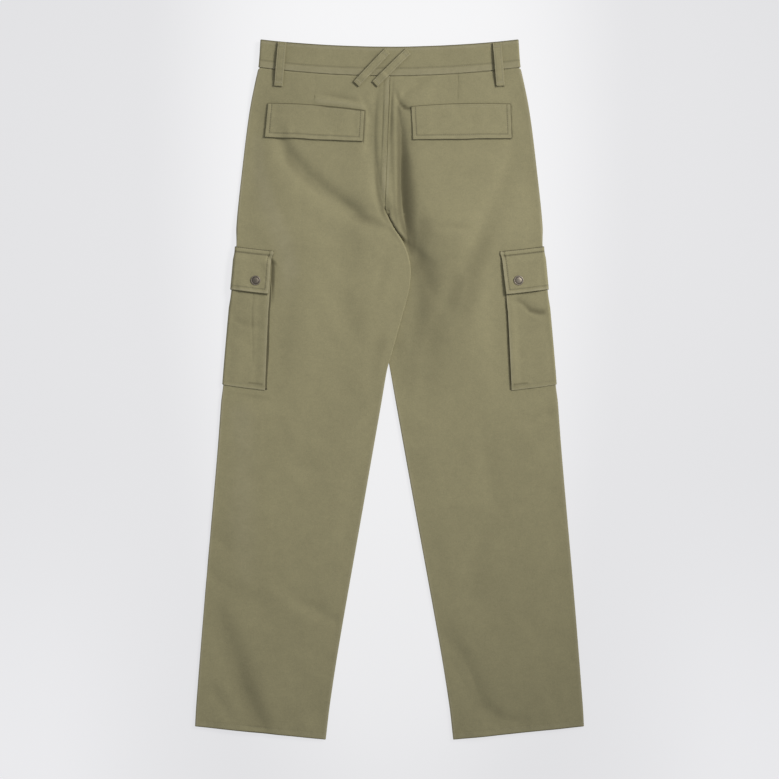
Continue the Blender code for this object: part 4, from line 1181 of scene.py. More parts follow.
def seat_flap(word, corners):
    upper_out, upper_in, lower_in, lower_out = (np.array(corner) for corner in corners)
    long, deep = np.linalg.norm(upper_in - upper_out), np.linalg.norm(lower_in - upper_in)
    edge = edge_steps(FLAP_CLOTH)
    u = joined(edge, spaced(0.003, long - 0.003, 0.0015), long - edge)[None, :] / long
    v = joined(edge, spaced(0.003, deep - 0.003, 0.0013), deep - edge)[:, None] / deep
    u3, v3 = u[..., None], v[..., None]
    spot = mix(mix(upper_out, upper_in, u3), mix(lower_out, lower_in, u3), v3)
    x, drop = spot[..., 0], spot[..., 1] - 0.0022 * (1 - v) * 4 * u * (1 - u)
    from_side = np.minimum(u, 1 - u) * long
    from_top = v * deep
    from_edge = np.minimum(from_side, (1 - v) * deep)
    # a hand-turned edge is never quite straight
    level = 0 * (u + v)
    turned = unevenness(from_top + level, level, 0.02, 81), unevenness(u * long + level, level, 0.03, 83)
    x = x + 0.0004 * turned[0] * (1 - smooth(from_side, 0, 0.02))
    drop = drop + 0.0005 * turned[1] * smooth(v, 0.5, 1.0)
    base = panel_top(x, drop)
    calm = blurred(base, 60)
    calm = calm + blurred(np.maximum(base - calm, 0.0), 20) * 1.2
    height = calm + AIR + FLAP_CLOTH / 2
    height = height + 0.0006 * smooth(v, 0.25, 1.0) + 0.0003 * (1 - smooth(from_edge, 0.0, 0.014))
    # the left end, away from the lamp, stands off the seat on one flap and lies close on the other
    shaded = 1 - u if word == "right" else u
    stands = {"left": 0.0003, "right": -0.0009}[word]
    height = height + stands * (1 - smooth(shaded, 0.0, 0.20))
    height = height - 0.0010 * (1 - smooth(from_top, 0.0, 0.0035))
    rumpled = unevenness(x, drop, 0.020, 91) + unevenness(x, drop * 0.5, 0.011, 93)
    height = height + 0.0003 * rumpled * smooth(from_edge, 0.002, 0.012)
    height = height + stitch_dip(from_edge - FLAP_STITCHES, 0.00030)
    height = height + stitch_dip(from_top - SEAT_FLAP_SEAM, 0.0002)
    height = height + puckers(x + drop, from_edge - FLAP_STITCHES, 0.0045, 0.00034)
    height = np.maximum(height, base + FLAP_CLOTH / 2 + 0.0001)
    places = np.stack([x, TOP - drop, height], -1)
    cloth = Cloth("seat_flap_cloth_" + word, places, FLAP_CLOTH, (10, 40, (0, 0, 1)),
                  across=u * long + 0 * v, along=from_top[:, 0], grain=(0, 0, -SIDES[word]))
    # painted shade: a dark line along the flap's right end and along the seam at its top edge
    worn = flap_wear_and_shade(from_edge, FLAP_STITCHES) * smooth(v, 0.0, 0.06)
    worn = worn - 0.9 * (1 - smooth((1 - shaded) * long, 0.0007, 0.0018))
    caught = 0.9 + 0.6 * smooth(x, -0.110, -0.090) * (x < 0)
    seam = 1 - smooth(from_top / caught, 0.0008, 0.0018)
    cloth.build(olive_twill, np.minimum(worn, 0.3 - 1.3 * caught * seam))
    return cloth


seat_flaps = {word: seat_flap(word, corners) for word, corners in SEAT_FLAPS.items()}

# %% [markdown]
# ## Cargo pockets
# A cargo pocket is a big patch round the side seam. Its back edge isn't sewn down: a gusset, a
# folded strip, joins it to the leg so that the pocket can swell, and shows as a dark band: it lies
# in shade, and the shade is also painted on it. The flap is sewn on above the pocket with two rows
# of stitches and snapped down near its corners. All three are sheets whose columns are keys, so
# they follow the roll of the leg's edge.

# %% Cargo pockets
# how far in from the side the back edges lie, at the top and at the bottom
POCKET_EDGE = {"left": (0.0562, 0.0645), "right": (0.0615, 0.0683)}
FLAP_EDGE = {"left": (0.0566, 0.0572), "right": (0.0655, 0.0635)}
# how far the flap's upper back corner sticks out, and how much of the gusset shows
FLAP_EAR = {"left": 0.0026, "right": 0.0014}
GUSSET_SHOWS = {"left": 0.0038, "right": 0.0022}
GUSSET_WIDTH = 0.0105
POCKET_BACK_STITCHES, POCKET_LOW_STITCHES = 0.0035, 0.0064
CARGO_FLAP_SEAMS = (0.0014, 0.0075)
# soft hollows across the pockets, by the length of cloth from the side edge
HOLLOWS = {
    "left": [(2, 415, 5, 7, -0.3), (25, 422, 6, 8, -0.7), (50, 423, 6, 8, -0.2)],
    "right": [(3, 408, 5, 6, -1.1), (16, 407, 5, 6, -1.4), (30, 402, 4, 6, -1.3),
              (38, 391, 4, 6, -1.0), (45, 385, 4, 6, -0.8), (56, 383, 4, 5, -0.4)],
}


def pocket_reach(word, row):
    share = np.clip((row - POCKET_TOP) / (POCKET_BOTTOM - POCKET_TOP), 0.0, 1.0)
    return mix(*POCKET_EDGE[word], share)


def wrap_columns(first, edge, last, count):
    """Keys from the back edge, over the roll at the side, to the front edge, for each row."""
    close = first + joined(edge, spaced(0.0045, 0.012, 0.0015))
    roll = np.concatenate([spaced(-0.0048, 0.0048, 0.0006)[None, :]] * len(first))
    middle = mix(close[:, -1:], roll[:, :1], np.linspace(0, 1, count + 1)[None, 1:-1])
    front = mix(roll[:, -1:], last - edge[-1], np.linspace(0, 1, 25)[None, 1:])
    end = last - edge[::-1][1:] + 0 * first
    return np.concatenate([close, middle, roll, front, end], 1)


def lift_pocket(word, row, key, side):
    """Middle of the pocket's cloth above the middle of the leg's."""
    edge = -key_at(side, row, pocket_reach(word, row)) - key
    back = smooth(-key, 0.004, 0.020)
    rise = 0.0021 * (1 - smooth(-edge, 0.002, 0.017)) * smooth(row, POCKET_TOP - 0.02, POCKET_TOP)
    rise = rise * (1 - 0.85 * smooth(row, POCKET_BOTTOM - 0.016, POCKET_BOTTOM))
    rise = rise * mix(0.25 if word == "right" else 0.7, 1.0, smooth(row, 0.366, 0.392))
    puff = 0.0007 * plateau(row, 0.39, 0.49, 0.04) * smooth(-edge, 0.0, 0.02)
    return CLOTH + AIR + (rise + puff) * back


def wrapped_sheet(name, side, row, key, offset, thick, up_at):
    """A sheet whose columns are keys, moved out from the middle of the leg's cloth."""
    reach, height = wrapped(side, row, key, offset)
    return Cloth(name, place(side, row, reach, height), thick, (*up_at, (0, 0, 1)), across=key,
                 along=(row - row[0])[:, 0], grain=(0, 0, -side))


def cargo_pocket(word, side):
    edge = edge_steps(CLOTH)
    deep = POCKET_BOTTOM - POCKET_TOP
    row = POCKET_TOP + joined(edge, spaced(0.004, deep - 0.004, 0.0024), deep - edge)[:, None]
    first = -key_at(side, row, pocket_reach(word, row))
    key = wrap_columns(first, edge, POCKET_FRONT, 26)
    from_back, from_low = key - first, POCKET_BOTTOM - row
    back_line, low_line = from_back - POCKET_BACK_STITCHES, from_low - POCKET_LOW_STITCHES
    # a pressed pleat down the middle of the left one, a soft hollow and small rumples
    pleat = 0.0
    if word == "left":
        pleat = near(key, -0.0329 - 0.095 * (row - 0.378), 0.0018) * plateau(row, 0.37, 0.47, 0.02)
    hollow = crease(-key, row, HOLLOWS[word])
    rumpled = unevenness(key, row, 0.022, 101 + side)
    rumpled = rumpled * smooth(from_back, 0.002, 0.012) * smooth(from_low, 0.004, 0.016)
    back = smooth(-key, 0.003, 0.012)
    offset = lift_pocket(word, row, key, side) + back * (
        stitch_dip(back_line, 0.00025) + stitch_dip(low_line) + stitch_dip(from_low - 0.0012, 0.00025)
        + puckers(row, back_line, 0.005, 0.0002, 15) + puckers(key, low_line, 0.005, 0.0002, 16)
        - 0.0003 * pleat + 0.0004 * rumpled + hollow)
    cloth = wrapped_sheet("cargo_pocket_cloth_" + word, side, row, key, offset, CLOTH, (40, 10))
    # lighter along the edges; painted shade in the stitches, the pleat and the hollows; a dark bar tack
    worn = 0.8 * near(from_back, 0.0006, 0.0010) + 0.6 * near(from_low, 0.0006, 0.0010)
    worn = worn - 0.35 * near(back_line, 0.0, 0.0008) - 0.30 * near(low_line, 0.0, 0.0008)
    tack = near(from_low, 0.0095, 0.0010) * plateau(from_back, 0.004, 0.024, 0.003) * back
    cloth.build(olive_twill, worn - 0.8 * tack - 0.3 * pleat + 0.45 * hollow * back / MM)
    return cloth


def cargo_gusset(word, side):
    deep = POCKET_BOTTOM - POCKET_TOP - 0.001
    row = POCKET_TOP + spaced(0.0, deep, 0.0035)[:, None]
    edge = -key_at(side, row, pocket_reach(word, row))
    strip = joined(edge_steps(CLOTH), spaced(0.0025, GUSSET_WIDTH, 0.0008))[None, :]
    bulging = 0.8 * smooth(row, 0.345, 0.375) + 0.3 * near(row, 0.456, 0.030)
    key = edge - GUSSET_SHOWS[word] * bulging + strip
    part = strip / GUSSET_WIDTH
    bulge = 0.0012 * np.sin(np.clip(part, 0, 1) * math.pi / 2) ** 2
    bulge = bulge * (1 - 0.9 * smooth(row, POCKET_BOTTOM - 0.014, POCKET_BOTTOM))
    ripple = 0.0003 * unevenness(row, key, 0.012, 111 + side) * np.sin(part * math.pi)
    offset = CLOTH + AIR * 0.5 + bulge * 0.55 + ripple
    cloth = wrapped_sheet("cargo_gusset_cloth_" + word, side, row, key, offset, CLOTH, (10, 5))
    # painted shade: the strip of the gusset that shows is painted dark
    cloth.build(olive_twill, -1.0 * plateau(strip, 0.0008, 0.0072, 0.0008))
    return cloth


def cargo_flap(word, side):
    edge = edge_steps(FLAP_CLOTH)
    deep = FLAP_BOTTOM - FLAP_TOP
    row = FLAP_TOP + joined(edge, spaced(0.0045, deep - 0.004, 0.0014), deep - edge)[:, None]
    v = (row - FLAP_TOP) / deep
    ear = FLAP_EAR[word] * (1 - smooth(v, 0.06, 0.22))
    first = -key_at(side, row, mix(*FLAP_EDGE[word], v) + ear)
    key = wrap_columns(first, edge, POCKET_FRONT, 34)
    from_back, from_top, from_low = key - first, row - FLAP_TOP, FLAP_BOTTOM - row
    from_edge = np.minimum(from_back, from_low)
    edge_line = from_edge - FLAP_STITCHES
    upper_line, lower_line = (from_top - seam for seam in CARGO_FLAP_SEAMS)
    back = smooth(-key, 0.003, 0.014)
    over_pocket = smooth(row, POCKET_TOP - 0.012, POCKET_TOP + 0.002)
    below = mix(CLOTH / 2, lift_pocket(word, row, key, side) + CLOTH / 2, over_pocket)
    corner = 0.0002 if word == "right" else 0.0004
    rumpled = unevenness(key, row, 0.018, 121 + side) * smooth(from_edge, 0.002, 0.010)
    offset = below + AIR + FLAP_CLOTH / 2 + back * (
        0.0012 * smooth(v, 0.35, 1.0) + corner * (1 - smooth(from_edge, 0, 0.012))
        - 0.0006 * (1 - smooth(from_top, 0.0, 0.003)) + stitch_dip(upper_line, 0.0003)
        + stitch_dip(lower_line, 0.0005, 0.0011) + puckers(key, lower_line, 0.0045, 0.0003, 19)
        + stitch_dip(edge_line, 0.0003) + puckers(key + row, edge_line, 0.0045, 0.00034, 17)
        + 0.0003 * rumpled)
    cloth = wrapped_sheet("cargo_flap_cloth_" + word, side, row, key, offset, FLAP_CLOTH, (20, 10))
    # painted shade along the seam at the flap's top and in its lower stitches; a light band below the
    # top
    worn = flap_wear_and_shade(from_edge, FLAP_STITCHES, 0.28) - 1.2 * (1 - smooth(from_top, 0.0009, 0.0018))
    worn = worn + 0.3 * near(from_top, 0.0040, 0.0016) - 1.0 * near(lower_line, 0.0, 0.0012)
    cloth.build(olive_twill, worn)
    return cloth


pockets, gussets, cargo_flaps = {}, {}, {}
for word, side in SIDES.items():
    pockets[word] = cargo_pocket(word, side)
    gussets[word] = cargo_gusset(word, side)
    cargo_flaps[word] = cargo_flap(word, side)

# %% [markdown]
# ## Belt loops
# A loop is a narrow strip, folded to three layers and stitched along both edges. Each end is
# turned under, and the fold shows from the side, so the strip's rows start under the loop, run
# round the fold, along the top and round the other fold.

# %% Belt loops
LOOP_CLOTH = 0.0012
# where each loop starts and ends, and how wide it is
LOOPS = {
    "back_left": (-0.1610, 0.0052, -0.1665, 0.0700, 0.0132),
    "back_right": (0.1605, 0.0060, 0.1660, 0.0700, 0.0132),
    "slant_left": (-0.0036, 0.0185, -0.0498, 0.0676, 0.0118),
    "slant_right": (0.0275, 0.0188, -0.0218, 0.0676, 0.0118),
}
TURN_UNDER = 0.0075
LOOP_STITCHES = 0.0022


def loop_rows(length, thick):
    """Along the strip: (distance from the first end, depth below the top layer)."""
    radius = thick / 2 + 0.0001
    turn = np.linspace(0, math.pi, 7)[1:-1]
    under = spaced(0.0015, TURN_UNDER, 0.0015)
    steps = [(s, -2 * radius) for s in under[::-1]]
    steps += [(radius - radius * math.sin(a), -radius - radius * math.cos(a)) for a in turn]
    steps += [(s, 0.0) for s in spaced(radius, length - radius, 0.0020)]
    steps += [(length - radius + radius * math.sin(a), -radius + radius * math.cos(a)) for a in turn]
    steps += [(length - s, -2 * radius) for s in under]
    return np.array(steps)


def belt_loop(name, start, end, width, base, face=1, arch=0.0012, thick=LOOP_CLOTH):
    start, end = np.array(start), np.array(end)
    length = np.linalg.norm(end - start)
    steps = loop_rows(length, thick)
    edge = edge_steps(thick)
    across = joined(edge, spaced(0.0018, width - 0.0018, 0.0009), width - edge)[None, :]
    s, down = steps[:, :1], steps[:, 1:]
    line = (end - start) / length
    side_way = np.array([line[1], -line[0]])
    x = start[0] + line[0] * s + side_way[0] * (across - width / 2)
    drop = start[1] + line[1] * s + side_way[1] * (across - width / 2)
    rest = base(x, drop) * face
    smooth_rest = blurred(rest, 30)
    smooth_rest = smooth_rest + np.max(rest - smooth_rest, axis=1, keepdims=True).clip(0)
    height = smooth_rest + thick * 1.5 + 0.0002 + (AIR if face > 0 else -0.0001)
    height = height + arch * plateau(s, 0.016, length - 0.016, 0.010)
    part = np.clip(across / width, 0, 1)
    height = height + 0.0002 * 4 * part * (1 - part) + down
    on_top = down > -1e-6
    for spot in (LOOP_STITCHES, width - LOOP_STITCHES):
        height = height + stitch_dip(across - spot, 0.00022, 0.0006) * on_top
    height = height + 0.00018 * unevenness(x, drop, 0.008, 131) * on_top
    places = np.stack([x, TOP - drop, height * face], -1)
    cloth = Cloth("loop_cloth_" + name, places, thick, (len(steps) // 2, 4, (0, 0, face)),
                  across=across + 0 * s)
    from_side = np.minimum(across, width - across)
    # lighter along both edges; painted shade in the stitches and a painted shadow along the first edge
    worn = 0.6 * near(from_side, 0.0013, 0.0007) - 0.6 * near(from_side, 0.0025, 0.0006) + 0.12
    worn = worn - 1.3 * (1 - smooth(across, 0.0005, 0.0013))
    cloth.build(olive_twill, worn)
    cloth.width = width
    return cloth


loops = {name: belt_loop(name, (x, drop), (x_end, drop_end), width, cloth_top)
         for name, (x, drop, x_end, drop_end, width) in LOOPS.items()}


def front_base(x, drop):
    """Height of the lowest cloth at the front of the waist."""
    return np.full(np.shape(x), WAIST_LIFT) * (1 - smooth(drop, 0.062, 0.130))


for word, side in SIDES.items():
    name, x = "front_" + word, side * 0.100
    loops[name] = belt_loop(name, (x, 0.0120), (x, 0.0700), 0.013, front_base, face=-1, arch=0.0,
                            thick=0.0010)

# %% [markdown]
# ## Snaps and button
# A snap cap is a pressed disc of brass with an antique finish: a rolled rim, a groove inside it and
# a low dome. It could be spun from a profile, but a maker's way is to start with a disc and pull its
# face up and in, ring by ring. The rims are rubbed bright and the grooves stay dark. The waist
# button is turned the same way, and four holes are cut through it.

# %% Bronze and horn


def rubbed(name, dark, bright, metallic, roughness, scale):
    """Metal or horn that is darker in its hollows and rubbed bright on its rims."""
    finish = Finish(name, Metallic=metallic)
    spot = finish.place()
    cloudy = finish.noise(spot, scale, 4.0, 0.6)
    fine = finish.noise(spot, scale * 9, 2.0, 0.6)
    worn = finish.worn()
    share = (worn * 0.75 + (cloudy - 0.5) * 0.9 + (fine - 0.5) * 0.5).ramp(0.0, 1.0)
    tone = finish.mixed(share, (*dark, 1.0), (*bright, 1.0))
    finish.surface(tone, roughness + (cloudy - 0.5) * 0.25 - share * 0.08)
    finish.bump(cloudy * 0.00004 + fine * 0.00002)
    return finish.material


bronze = rubbed("antique bronze", (0.115, 0.098, 0.078), (0.330, 0.290, 0.235), 1.0, 0.64, 700.0)
horn = rubbed("dark horn", (0.040, 0.034, 0.022), (0.110, 0.092, 0.058), 0.0, 0.38, 260.0)

# %% Snaps and button


def turned_piece(name, centre, profile, material, up=1, sides=40):
    """A round piece: a disc whose face is pulled up and in, step by step, along a profile of
    (radius, height, painted value for wear and glint)."""
    centre = Vector(centre)
    bpy.ops.object.select_all(action="DESELECT")
    bpy.ops.mesh.primitive_circle_add(vertices=sides, radius=profile[0][0], fill_type="NGON",
                                      location=centre)
    piece = bpy.context.object
    piece.name = piece.data.name = name
    bpy.ops.object.mode_set(mode="EDIT")
    bpy.ops.mesh.select_all(action="SELECT")
    bpy.ops.mesh.select_mode(type="FACE")
    for before, after in zip(profile, profile[1:]):
        lift = (0.0, 0.0, up * (after[1] - before[1]))
        bpy.ops.mesh.extrude_region_move(TRANSFORM_OT_translate={"value": lift})
        shrink = after[0] / before[0]
        bpy.ops.transform.resize(value=(shrink, shrink, 1.0), center_override=centre)
    bpy.ops.mesh.select_all(action="SELECT")
    bpy.ops.mesh.normals_make_consistent(inside=False)
    bpy.ops.object.mode_set(mode="OBJECT")
    bpy.ops.object.transform_apply(location=True, rotation=True, scale=True)
    mesh = piece.data
    worn = []
    for vertex in mesh.vertices:
        gap = vertex.co - centre
        match = min(profile, key=lambda step: math.hypot(step[0] - gap.xy.length, step[1] - up * gap.z))
        worn.append(match[2])
    mesh.attributes.new("worn", "FLOAT", "POINT").data.foreach_set("value", worn)
    mesh.materials.append(material)
    bpy.ops.object.shade_smooth_by_angle(angle=math.radians(50))
    high = max(step[1] for step in profile)
    print(f"{name}: {len(mesh.polygons)} faces, {high * 1000:.1f} mm high")
    return piece


SNAPS = {"left": (-0.2003, 0.3615), "right": (0.1931, 0.3615)}
# painted highlight: how much brighter each cap's rims are painted, for the glint on the right one
SNAP_GLINT = {"left": 0.0, "right": 0.8}
SNAP_PROFILE = (
    (0.00640, 0.00000, 0.0), (0.00720, 0.00010, 0.1), (0.00740, 0.00045, 0.5),
    (0.00725, 0.00090, 0.9), (0.00680, 0.00125, 1.0), (0.00620, 0.00135, 0.8),
    (0.00570, 0.00115, 0.2), (0.00540, 0.00095, 0.0), (0.00510, 0.00095, 0.0),
    (0.00475, 0.00125, 0.4), (0.00400, 0.00160, 0.6), (0.00290, 0.00185, 0.6),
    (0.00150, 0.00198, 0.5), (0.00040, 0.00200, 0.5),
)
SNAP_RADIUS = 0.0072


def middle_of(low, high, z):
    """A spot over the middle of a box."""
    return Vector(((low.x + high.x) / 2, (low.y + high.y) / 2, z))


snaps = {}
for word, (x, drop) in SNAPS.items():
    places = cargo_flaps[word].places
    upper = places[..., 2] > 0.004
    gap = np.hypot(places[..., 0] - x, places[..., 1] - (TOP - drop))
    below = places[upper & (gap < SNAP_RADIUS)][:, 2].max() + FLAP_CLOTH / 2
    # the rims' wear, with a painted glint added on the right cap
    rubbed_and_glint_profile = [(radius, height, worn * (1 + SNAP_GLINT[word]))
                      for radius, height, worn in SNAP_PROFILE]
    snaps["back", word] = turned_piece("snap_cap_" + word, (x, TOP - drop, below - 0.00025),
                                       rubbed_and_glint_profile, bronze)
    low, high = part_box("cargo_snap_front_" + word)
    flatter = [(radius, height * 0.88, worn) for radius, height, worn in SNAP_PROFILE]
    snaps["front", word] = turned_piece("snap_cap_front_" + word,
                                        middle_of(low, high, high.z + 0.0002), flatter, bronze, up=-1)

BUTTON_PROFILE = (
    (0.0074, 0.0000, 0.1), (0.0083, 0.0003, 0.4), (0.0085, 0.0009, 0.7), (0.0083, 0.0016, 0.9),
    (0.0077, 0.0021, 1.0), (0.0069, 0.0022, 0.9), (0.0062, 0.0019, 0.5), (0.0056, 0.0014, 0.1),
    (0.0045, 0.0012, 0.2), (0.0020, 0.0011, 0.3), (0.0004, 0.0011, 0.3),
)
low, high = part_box("waist_button")
button_spot = middle_of(low, high, high.z)
button = turned_piece("button_of_waist", button_spot, BUTTON_PROFILE, horn, up=-1)
for step in range(4):
    angle = math.pi / 4 + step * math.pi / 2
    bpy.ops.object.select_all(action="DESELECT")
    hole_at = button_spot + Vector((math.cos(angle), math.sin(angle), 0)) * 0.0021
    bpy.ops.mesh.primitive_cylinder_add(vertices=14, radius=0.0009, depth=0.01, location=hole_at)
    drill = bpy.context.object
    bpy.context.view_layer.objects.active = button
    cut = button.modifiers.new("hole", "BOOLEAN")
    cut.operation, cut.object, cut.solver = "DIFFERENCE", drill, "EXACT"
    bpy.ops.object.modifier_apply(modifier=cut.name)
    bpy.data.objects.remove(drill, do_unlink=True)

# %% [markdown]
# ## Zip
# The fly's zip is hidden inside: a woven tape with two rows of teeth that mesh. One tooth is
# modelled and copied down the tape, first on one side and then, half a tooth lower, on the other.

# %% Zip
ZIP_CLOTH = 0.0007
TOOTH_STEP = 0.0011
zip_tape_finish = twill("zip tape", (0.190, 0.175, 0.110), rib_height=0.00006)
low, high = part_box("fly_zip")
ZIP_TOP, ZIP_LENGTH, ZIP_WIDTH = TOP - high.y, high.y - low.y, high.x - low.x
zip_rows = spaced(0.0, ZIP_LENGTH, 0.003)
edge = edge_steps(ZIP_CLOTH)
zip_columns = joined(edge, spaced(0.001, ZIP_WIDTH - 0.001, 0.002), ZIP_WIDTH - edge)
zip_x = low.x + zip_columns[None, :] + 0 * zip_rows[:, None]
zip_drop = ZIP_TOP + zip_rows[:, None] + 0 * zip_columns[None, :]
row = zip_drop - 0.013
zip_low, zip_high = levels(LEFT, row, half_width(row), leg_width(LEFT, row))
zip_height = np.minimum(zip_low + 0.0018, zip_high - 0.0011)
zip_tape = Cloth("zip_tape", np.stack([zip_x, TOP - zip_drop, zip_height], -1), ZIP_CLOTH,
                 (5, 5, (0, 0, 1)))
zip_tape.build(zip_tape_finish)


def repeated(name, template, frames, material):
    """One joined mesh of copies of a small shape: each frame is a place and three directions
    that its X, Y and Z are drawn along."""
    points, faces = template
    frames = np.array(frames)
    spots, axes = frames[:, 0], frames[:, 1:]
    everywhere = spots[:, None] + np.einsum("pk,nkd->npd", points, axes)
    count, size = len(frames), len(points)
    mesh = bpy.data.meshes.new(name)
    lengths = np.tile([len(face) for face in faces], count)
    indices = (np.concatenate(faces)[None] + size * np.arange(count)[:, None]).ravel()
    mesh.vertices.add(count * size)
    mesh.vertices.foreach_set("co", everywhere.astype(np.float32).ravel())
    mesh.loops.add(len(indices))
    mesh.loops.foreach_set("vertex_index", indices.astype(np.int32))
    mesh.polygons.add(len(lengths))
    mesh.polygons.foreach_set("loop_start", np.concatenate([[0], np.cumsum(lengths)[:-1]]))
    mesh.update(calc_edges=True)
    mesh.validate()
    mesh.polygons.foreach_set("use_smooth", np.ones(len(lengths), bool))
    mesh.materials.append(material)
    piece = bpy.data.objects.new(name, mesh)
    bpy.context.collection.objects.link(piece)
    print(f"{name}: {count} copies, {len(lengths)} faces")
    return piece


def shape_of(piece):
    """The points and faces of a small shape, which is then removed."""
    mesh = piece.data
    points = np.array([vertex.co for vertex in mesh.vertices])
    faces = [np.array(polygon.vertices) for polygon in mesh.polygons]
    bpy.data.objects.remove(piece, do_unlink=True)
    return points, faces


bpy.ops.object.select_all(action="DESELECT")
bpy.ops.mesh.primitive_cube_add(size=1.0)
bpy.ops.object.mode_set(mode="EDIT")
bpy.ops.mesh.bevel(offset=0.16, segments=1, affect="EDGES")
bpy.ops.object.mode_set(mode="OBJECT")
tooth = shape_of(bpy.context.object)
middle_x = (low.x + high.x) / 2
teeth = []
for n in range(int(ZIP_LENGTH / (2 * TOOTH_STEP)) * 2 - 4):
    x = middle_x + (0.0011 if n % 2 else -0.0011)
    drop = ZIP_TOP + 0.003 + n * TOOTH_STEP
    z = float(np.interp(drop, zip_drop[:, 0], zip_height[:, zip_height.shape[1] // 2]))
    teeth.append(((x, TOP - drop, z), (0.0028, 0, 0), (0, 0.0010, 0), (0, 0, 0.0013)))
zip_teeth = repeated("zip_teeth", tooth, teeth, bronze)

# %% [markdown]
# ## Stitches
# Topstitching holds every folded edge flat, and its small dashes are what makes sewn cloth look
# sewn. The thread has the cloth's own colour. One stitch is modelled, a short bar with drawn-in
# ends, and copied along each seam at 3 mm, with a little unevenness in length and direction. Bar
# tacks, short blocks of close stitches, hold the ends of the loops; the tacks at the pockets'
# corners are only painted on the cloth.

# %% Stitches
thread_finish = Finish("thread", Sheen_Weight=0.25, Sheen_Roughness=0.4)
thread_spot = thread_finish.place()
thread_noise = thread_finish.noise(thread_spot, 300.0, 2.0)
thread_twist = (thread_finish.noise(thread_spot, 2600.0, 1.0) - 0.5) * 0.35
thread_tone = thread_finish.scaled((0.300, 0.272, 0.172), 0.84 + thread_noise * 0.3 + thread_twist)
thread_finish.surface(thread_tone, 0.62 + thread_noise * 0.1)
thread_finish.bump(thread_twist * 0.0001)

bpy.ops.object.select_all(action="DESELECT")
bpy.ops.mesh.primitive_cylinder_add(vertices=5, radius=0.5, depth=0.7, rotation=(0, math.pi / 2, 0))
bpy.ops.object.transform_apply(location=False, rotation=True, scale=False)
bpy.ops.object.mode_set(mode="EDIT")
bpy.ops.mesh.select_all(action="DESELECT")
bpy.ops.object.mode_set(mode="OBJECT")
for polygon in bpy.context.object.data.polygons:
    polygon.select = abs(polygon.normal.x) > 0.9
bpy.ops.object.mode_set(mode="EDIT")
bpy.ops.mesh.select_mode(type="FACE")
bpy.ops.mesh.inset(thickness=0.24, depth=0.15, use_individual=True)
bpy.ops.object.mode_set(mode="OBJECT")
stitch = shape_of(bpy.context.object)
stitch[0][:, 2] -= 0.9 * stitch[0][:, 0] ** 2
STITCH = 0.0030
chance = np.random.default_rng(7)


def stitch_frames(cloth, across, along, pitch=STITCH, long=0.0024, wide=0.00062, high=0.00062,
                  turned=False):
    """Frames of the stitches along a line that is given in a sheet's cut coordinates."""
    fine = np.linspace(0, 1, max(int(len(across) * 8), 200))
    steps = np.linspace(0, 1, len(across))
    across, along = np.interp(fine, steps, across), np.interp(fine, steps, along)
    places, normal = cloth.find(across, along)
    length = np.concatenate([[0], np.cumsum(np.linalg.norm(np.diff(places, axis=0), axis=1))])
    count = max(int(length[-1] / pitch), 1)
    marks = (np.arange(count) + 0.5) * length[-1] / count
    frames = []
    for mark in marks:
        spot, before, after, out = (
            np.array([np.interp(mark + move, length, grid[:, n]) for n in range(3)])
            for grid, move in ((places, 0), (places, -pitch / 2), (places, pitch / 2), (normal, 0)))
        forward = after - before
        forward /= np.linalg.norm(forward) + 1e-12
        out /= np.linalg.norm(out)
        sideways = np.cross(out, forward)
        if turned:
            forward, sideways = sideways, -forward
        forward = forward + sideways * chance.normal(0, 0.05)
        reach = long * (1 + chance.normal(0, 0.04))
        spot[2] = max(spot[2], high * 0.45)
        frames.append((spot - out * high * 0.18, forward * reach, sideways * wide, out * high))
    return frames


def down_edge(cloth, inset, start, end, last=False, column=None):
    """A line beside the first or last column, from one height of the cut to another."""
    along = np.linspace(start, end, 60)
    column = (-1 if last else 0) if column is None else column
    edge = np.interp(along, cloth.along, cloth.across[:, column])
    return edge + inset * (-1 if last else 1), along


def over(cloth, along, from_first, from_last):
    """A line across the cut at one height."""
    first = np.interp(along, cloth.along, cloth.across[:, 0]) + from_first
    last = np.interp(along, cloth.along, cloth.across[:, -1]) - from_last
    across = np.linspace(first, last, 120)
    return across, np.full(120, along)


def both_edges(cloth, inset, start, end):
    return [down_edge(cloth, inset, start, end, last) for last in (False, True)]


def bar_tack(cloth, across, along, wide):
    """A block of close stitches across a line."""
    line = np.linspace(across - wide / 2, across + wide / 2, 12), np.full(12, along)
    return stitch_frames(cloth, *line, pitch=0.00050, long=0.0017, wide=0.00058, high=0.0007,
                         turned=True)


stitches = {}


def sew(cloth, *lines, tacks=()):
    frames = []
    for line in lines:
        frames += stitch_frames(cloth, *line)
    for tack in tacks:
        frames += bar_tack(cloth, *tack)
    name = "stitches_" + cloth.name.replace("_cloth", "")
    stitches[cloth.name] = repeated(name, stitch, frames, thread_finish.material)


